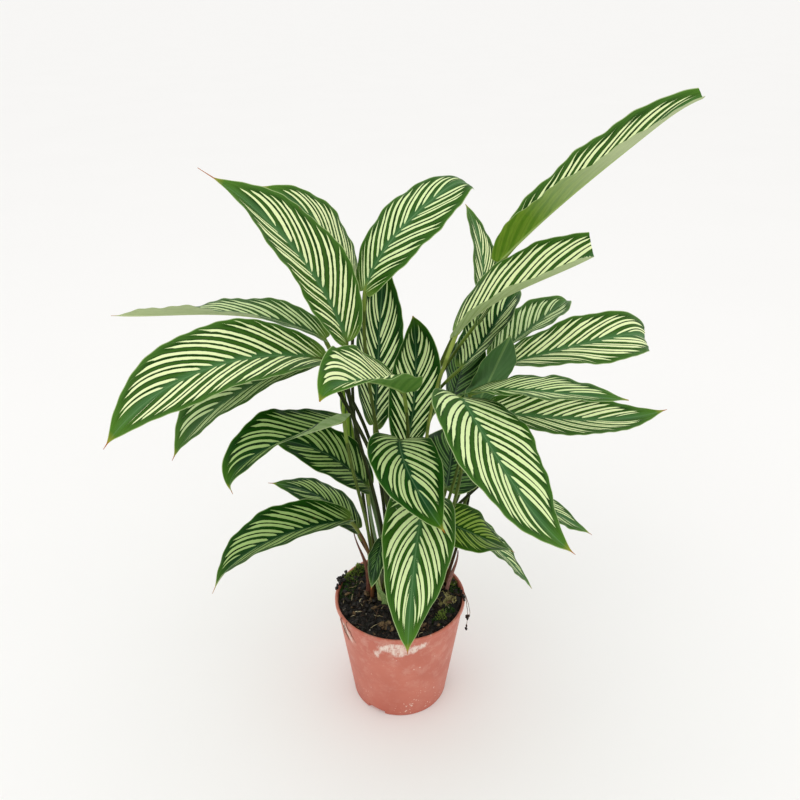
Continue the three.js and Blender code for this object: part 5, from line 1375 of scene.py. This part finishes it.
def furledFinish():
    # A leaf still rolled in its spear: thin, satin, fresh yellow-green outside, with the dark bands of the
    # blade winding up it as stripes, and dusty grey-green on the stalk below
    material, tree, skin = newFinish("furledLeafSkin", 0.42, gloss=0.3)
    vein = addNode(tree, "Attribute", attribute_name="vein").outputs["Vector"]
    way, around, _ = markParts(tree, "place")
    streaks = addNode(tree, "TexNoise", {"Vector": vein, "Scale": 3.0, "Detail": 3.0})
    wound = addNode(tree, "Math", {0: around, 1: 5.0}, operation="MULTIPLY")
    wound = addNode(tree, "Math", {0: streaks.outputs[0], 1: 0.5, 2: wound}, operation="MULTIPLY_ADD")
    wound = addNode(tree, "Math", {0: wound}, operation="FRACT")
    band = addNode(tree, "MapRange", {"Value": wound, "From Min": 0.58, "From Max": 0.70},
                   interpolation_type="SMOOTHSTEP")
    bandEnd = addNode(tree, "MapRange", {"Value": wound, "From Min": 1.0, "From Max": 0.92},
                      interpolation_type="SMOOTHSTEP")
    band = addNode(tree, "Math", {0: band, 1: bandEnd}, operation="MULTIPLY")
    dark, light = [linear(c) for c in furledColours["blade"]]
    bladeColour = washOver(tree, dark, light, streaks, 0.35, 0.65)
    bladeColour = addNode(tree, "MixRGB", {0: band, 1: bladeColour, 2: linear(furledColours["band"])})
    dark, light = [linear(c) for c in furledColours["stalk"]]
    stalkColour = washOver(tree, dark, light, streaks, 0.35, 0.65)
    colour = washOver(tree, stalkColour, bladeColour, way, 0.52, 0.62)
    closeFinish(tree, skin, colour, streaks, 0.4, 0.3)
    return material


def sheathFinish(name, dark, light, roughness):
    # Dead sheath: paper-thin, dry, ribbed lengthwise, mottled reddish brown
    material, tree, skin = newFinish(name, roughness, gloss=0.25)
    vein = addNode(tree, "Attribute", attribute_name="vein").outputs["Vector"]
    ribs = addNode(tree, "TexNoise", {"Vector": vein, "Scale": 4.0, "Detail": 4.0, "Roughness": 0.6})
    colour = washOver(tree, linear(dark), linear(light), ribs, 0.36, 0.64)
    closeFinish(tree, skin, colour, ribs, 0.7, 0.5)
    return material


def addFurledLeaf():
    # a sheet rolled on itself: the radius grows round the turn, so its edge stands as a seam that
    # winds up the spear; the tip is drawn out, the stalk below is plain and round
    stem = stems["furledLeaf"]
    sides = 40
    path, shares, radius = stemPath(stem, 70)
    turn = np.linspace(0, 2 * np.pi, sides, endpoint=False)
    rolled = smoothStep(0.50, 0.62, shares)[:, None]
    spiral = stem["turns"] * np.clip(shares - 0.5, 0, None) * 2
    angle = (turn[None] - spiral[:, None] * 2 * np.pi) % (2 * np.pi) / (2 * np.pi)
    step = 1 + stem["overlap"] * rolled * (smoothStep(0.0, 0.06, angle) * (1 - angle) - 0.35)
    bulge = 1 + 0.16 * rolled[:, 0] * np.sin(np.pi * np.clip((shares - 0.55) / 0.45, 0, 1))
    slim = 1 - 0.22 * smoothStep(0.60, 0.40, shares)
    radii = (radius * bulge * slim)[:, None] * step
    corners, quads, caps = tubes(path[None], radii[None], sides, np.array([1.0, 0.1, 0.0]))
    marks = stemMarks(shares, sides, turn, stem["turns"])
    addPiece("furled_leaf_fine", corners, [(quads, 0), (caps, 0)], [furledFinish()], marks,
             ["furled_leaf"])


def addSheath(stem):
    # a withered tube: flattened across, ribbed lengthwise, frayed and pinched towards its tip
    sides = 28
    path, shares, radius = stemPath(stem, 34)
    turn = np.linspace(0, 2 * np.pi, sides, endpoint=False)
    flat = 1 + 0.28 * np.cos(2 * turn[None] + 3 * shares[:, None])
    ribbed = 1 + stem["ribs"] * np.cos(9 * turn[None] + 5 * shares[:, None])
    curl = 1 + stem["split"] * shares[:, None] ** 2 * np.cos(turn[None] + 6 * shares[:, None])
    radii = radius[:, None] * flat * ribbed * curl
    corners, quads, caps = tubes(path[None], radii[None], sides, np.array([1.0, 0.1, 0.0]))
    addPiece(stem["node"] + "_fine", corners, [(quads, 0), (caps, 0)], [sheathFinish(*stem["finish"])],
             stemMarks(shares, sides, turn), [stem["node"]])


addFurledLeaf()
for key in ("sheathLeft", "sheathRight", "youngShoot", "shootStub"):
    addSheath(stems[key])
print("stage: stems made")


# Floor, light and camera

stage = {
    "floorHalf": 60.0,         # m
    "floorColour": ("#F3F2F0", "#F5F4F2"),
    "worldColour": "#FFFFFF",
    "worldStrength": 1.04,     # overhead
    "horizonStrength": 0.937,
    "horizonRise": 0.45,       # sine of the height at which the room is as bright as overhead
    # place and what it is aimed at, in m, width in m and power in W: a wide soft light above and in
    # front, a little to the left, and a weaker one from the right
    "keyLight": ((-0.7, -0.9, 1.8), (0, 0, 0.25), 1.4, 3.5),
    "fillLight": ((1.3, -0.5, 1.3), (0, 0, 0.25), 1.2, 1.0),
    "pitch": 27.75,            # degrees that the camera looks down
    "place": (0.0, -0.573, 0.614),
    "lens": 36.0,              # mm, and the frame is as wide
}


def floorFinish():
    # Matt seamless paper: plain, with a hardly visible tooth
    material, tree, skin = newFinish("studioPaper", 0.9, gloss=0.1)
    coords = addNode(tree, "TexCoord").outputs["Object"]
    tooth = addNode(tree, "TexNoise", {"Vector": coords, "Scale": 3.0, "Detail": 2.0})
    darker, paler = [linear(c) for c in stage["floorColour"]]
    colour = addNode(tree, "MixRGB", {0: tooth, 1: darker, 2: paler})
    tree.links.new(colour.outputs[0], skin.inputs["Base Color"])
    return material


def addFloor():
    # one wide square at height 0
    half = stage["floorHalf"]
    mesh = bpy.data.meshes.new("floor")
    corners = [(-half, -half, 0), (half, -half, 0), (half, half, 0), (-half, half, 0)]
    mesh.from_pydata(corners, [], [(0, 1, 2, 3)])
    mesh.materials.append(floorFinish())
    floor = bpy.data.objects.new("floor", mesh)
    bpy.context.scene.collection.objects.link(floor)


def addSoftLight(name, place, target, size, power):
    # a round area light, turned so that its own down looks from its place to the target
    light = bpy.data.lights.new(name, "AREA")
    light.shape = "DISK"
    light.size = size
    light.energy = power
    lamp = bpy.data.objects.new(name, light)
    bpy.context.scene.collection.objects.link(lamp)
    lamp.location = place
    aim = np.array(target, float) - np.array(place, float)
    across = math.hypot(aim[0], aim[1])
    lamp.rotation_euler = (math.atan2(across, -aim[2]), 0, math.atan2(-aim[0], aim[1]))


addFloor()
world = bpy.data.worlds.new("softRoom")
bpy.context.scene.world = world
world.use_nodes = True
backdrop = world.node_tree.nodes["Background"]
backdrop.inputs[0].default_value = linear(stage["worldColour"])
# the room is as bright as the far floor at the horizon, so that the two meet without a line
direction = addNode(world.node_tree, "TexCoord").outputs["Generated"]
climb = addNode(world.node_tree, "SeparateXYZ", {0: direction}).outputs[2]
glow = addNode(world.node_tree, "MapRange", {"Value": climb, "From Max": stage["horizonRise"],
                                             "To Min": stage["horizonStrength"],
                                             "To Max": stage["worldStrength"]})
world.node_tree.links.new(glow.outputs[0], backdrop.inputs[1])
for name in ("keyLight", "fillLight"):
    addSoftLight(name, *stage[name])

view = bpy.data.cameras.new("photoView")
view.lens = stage["lens"]
view.sensor_width = stage["lens"]
view.sensor_fit = "HORIZONTAL"
view.clip_end = 100
camera = bpy.data.objects.new("photoView", view)
bpy.context.scene.collection.objects.link(camera)
camera.location = stage["place"]
camera.rotation_euler = (math.radians(90 - stage["pitch"]), 0, 0)
bpy.context.scene.camera = camera
bpy.context.scene.view_settings.view_transform = "Standard"
print("stage: floor, light and camera set")
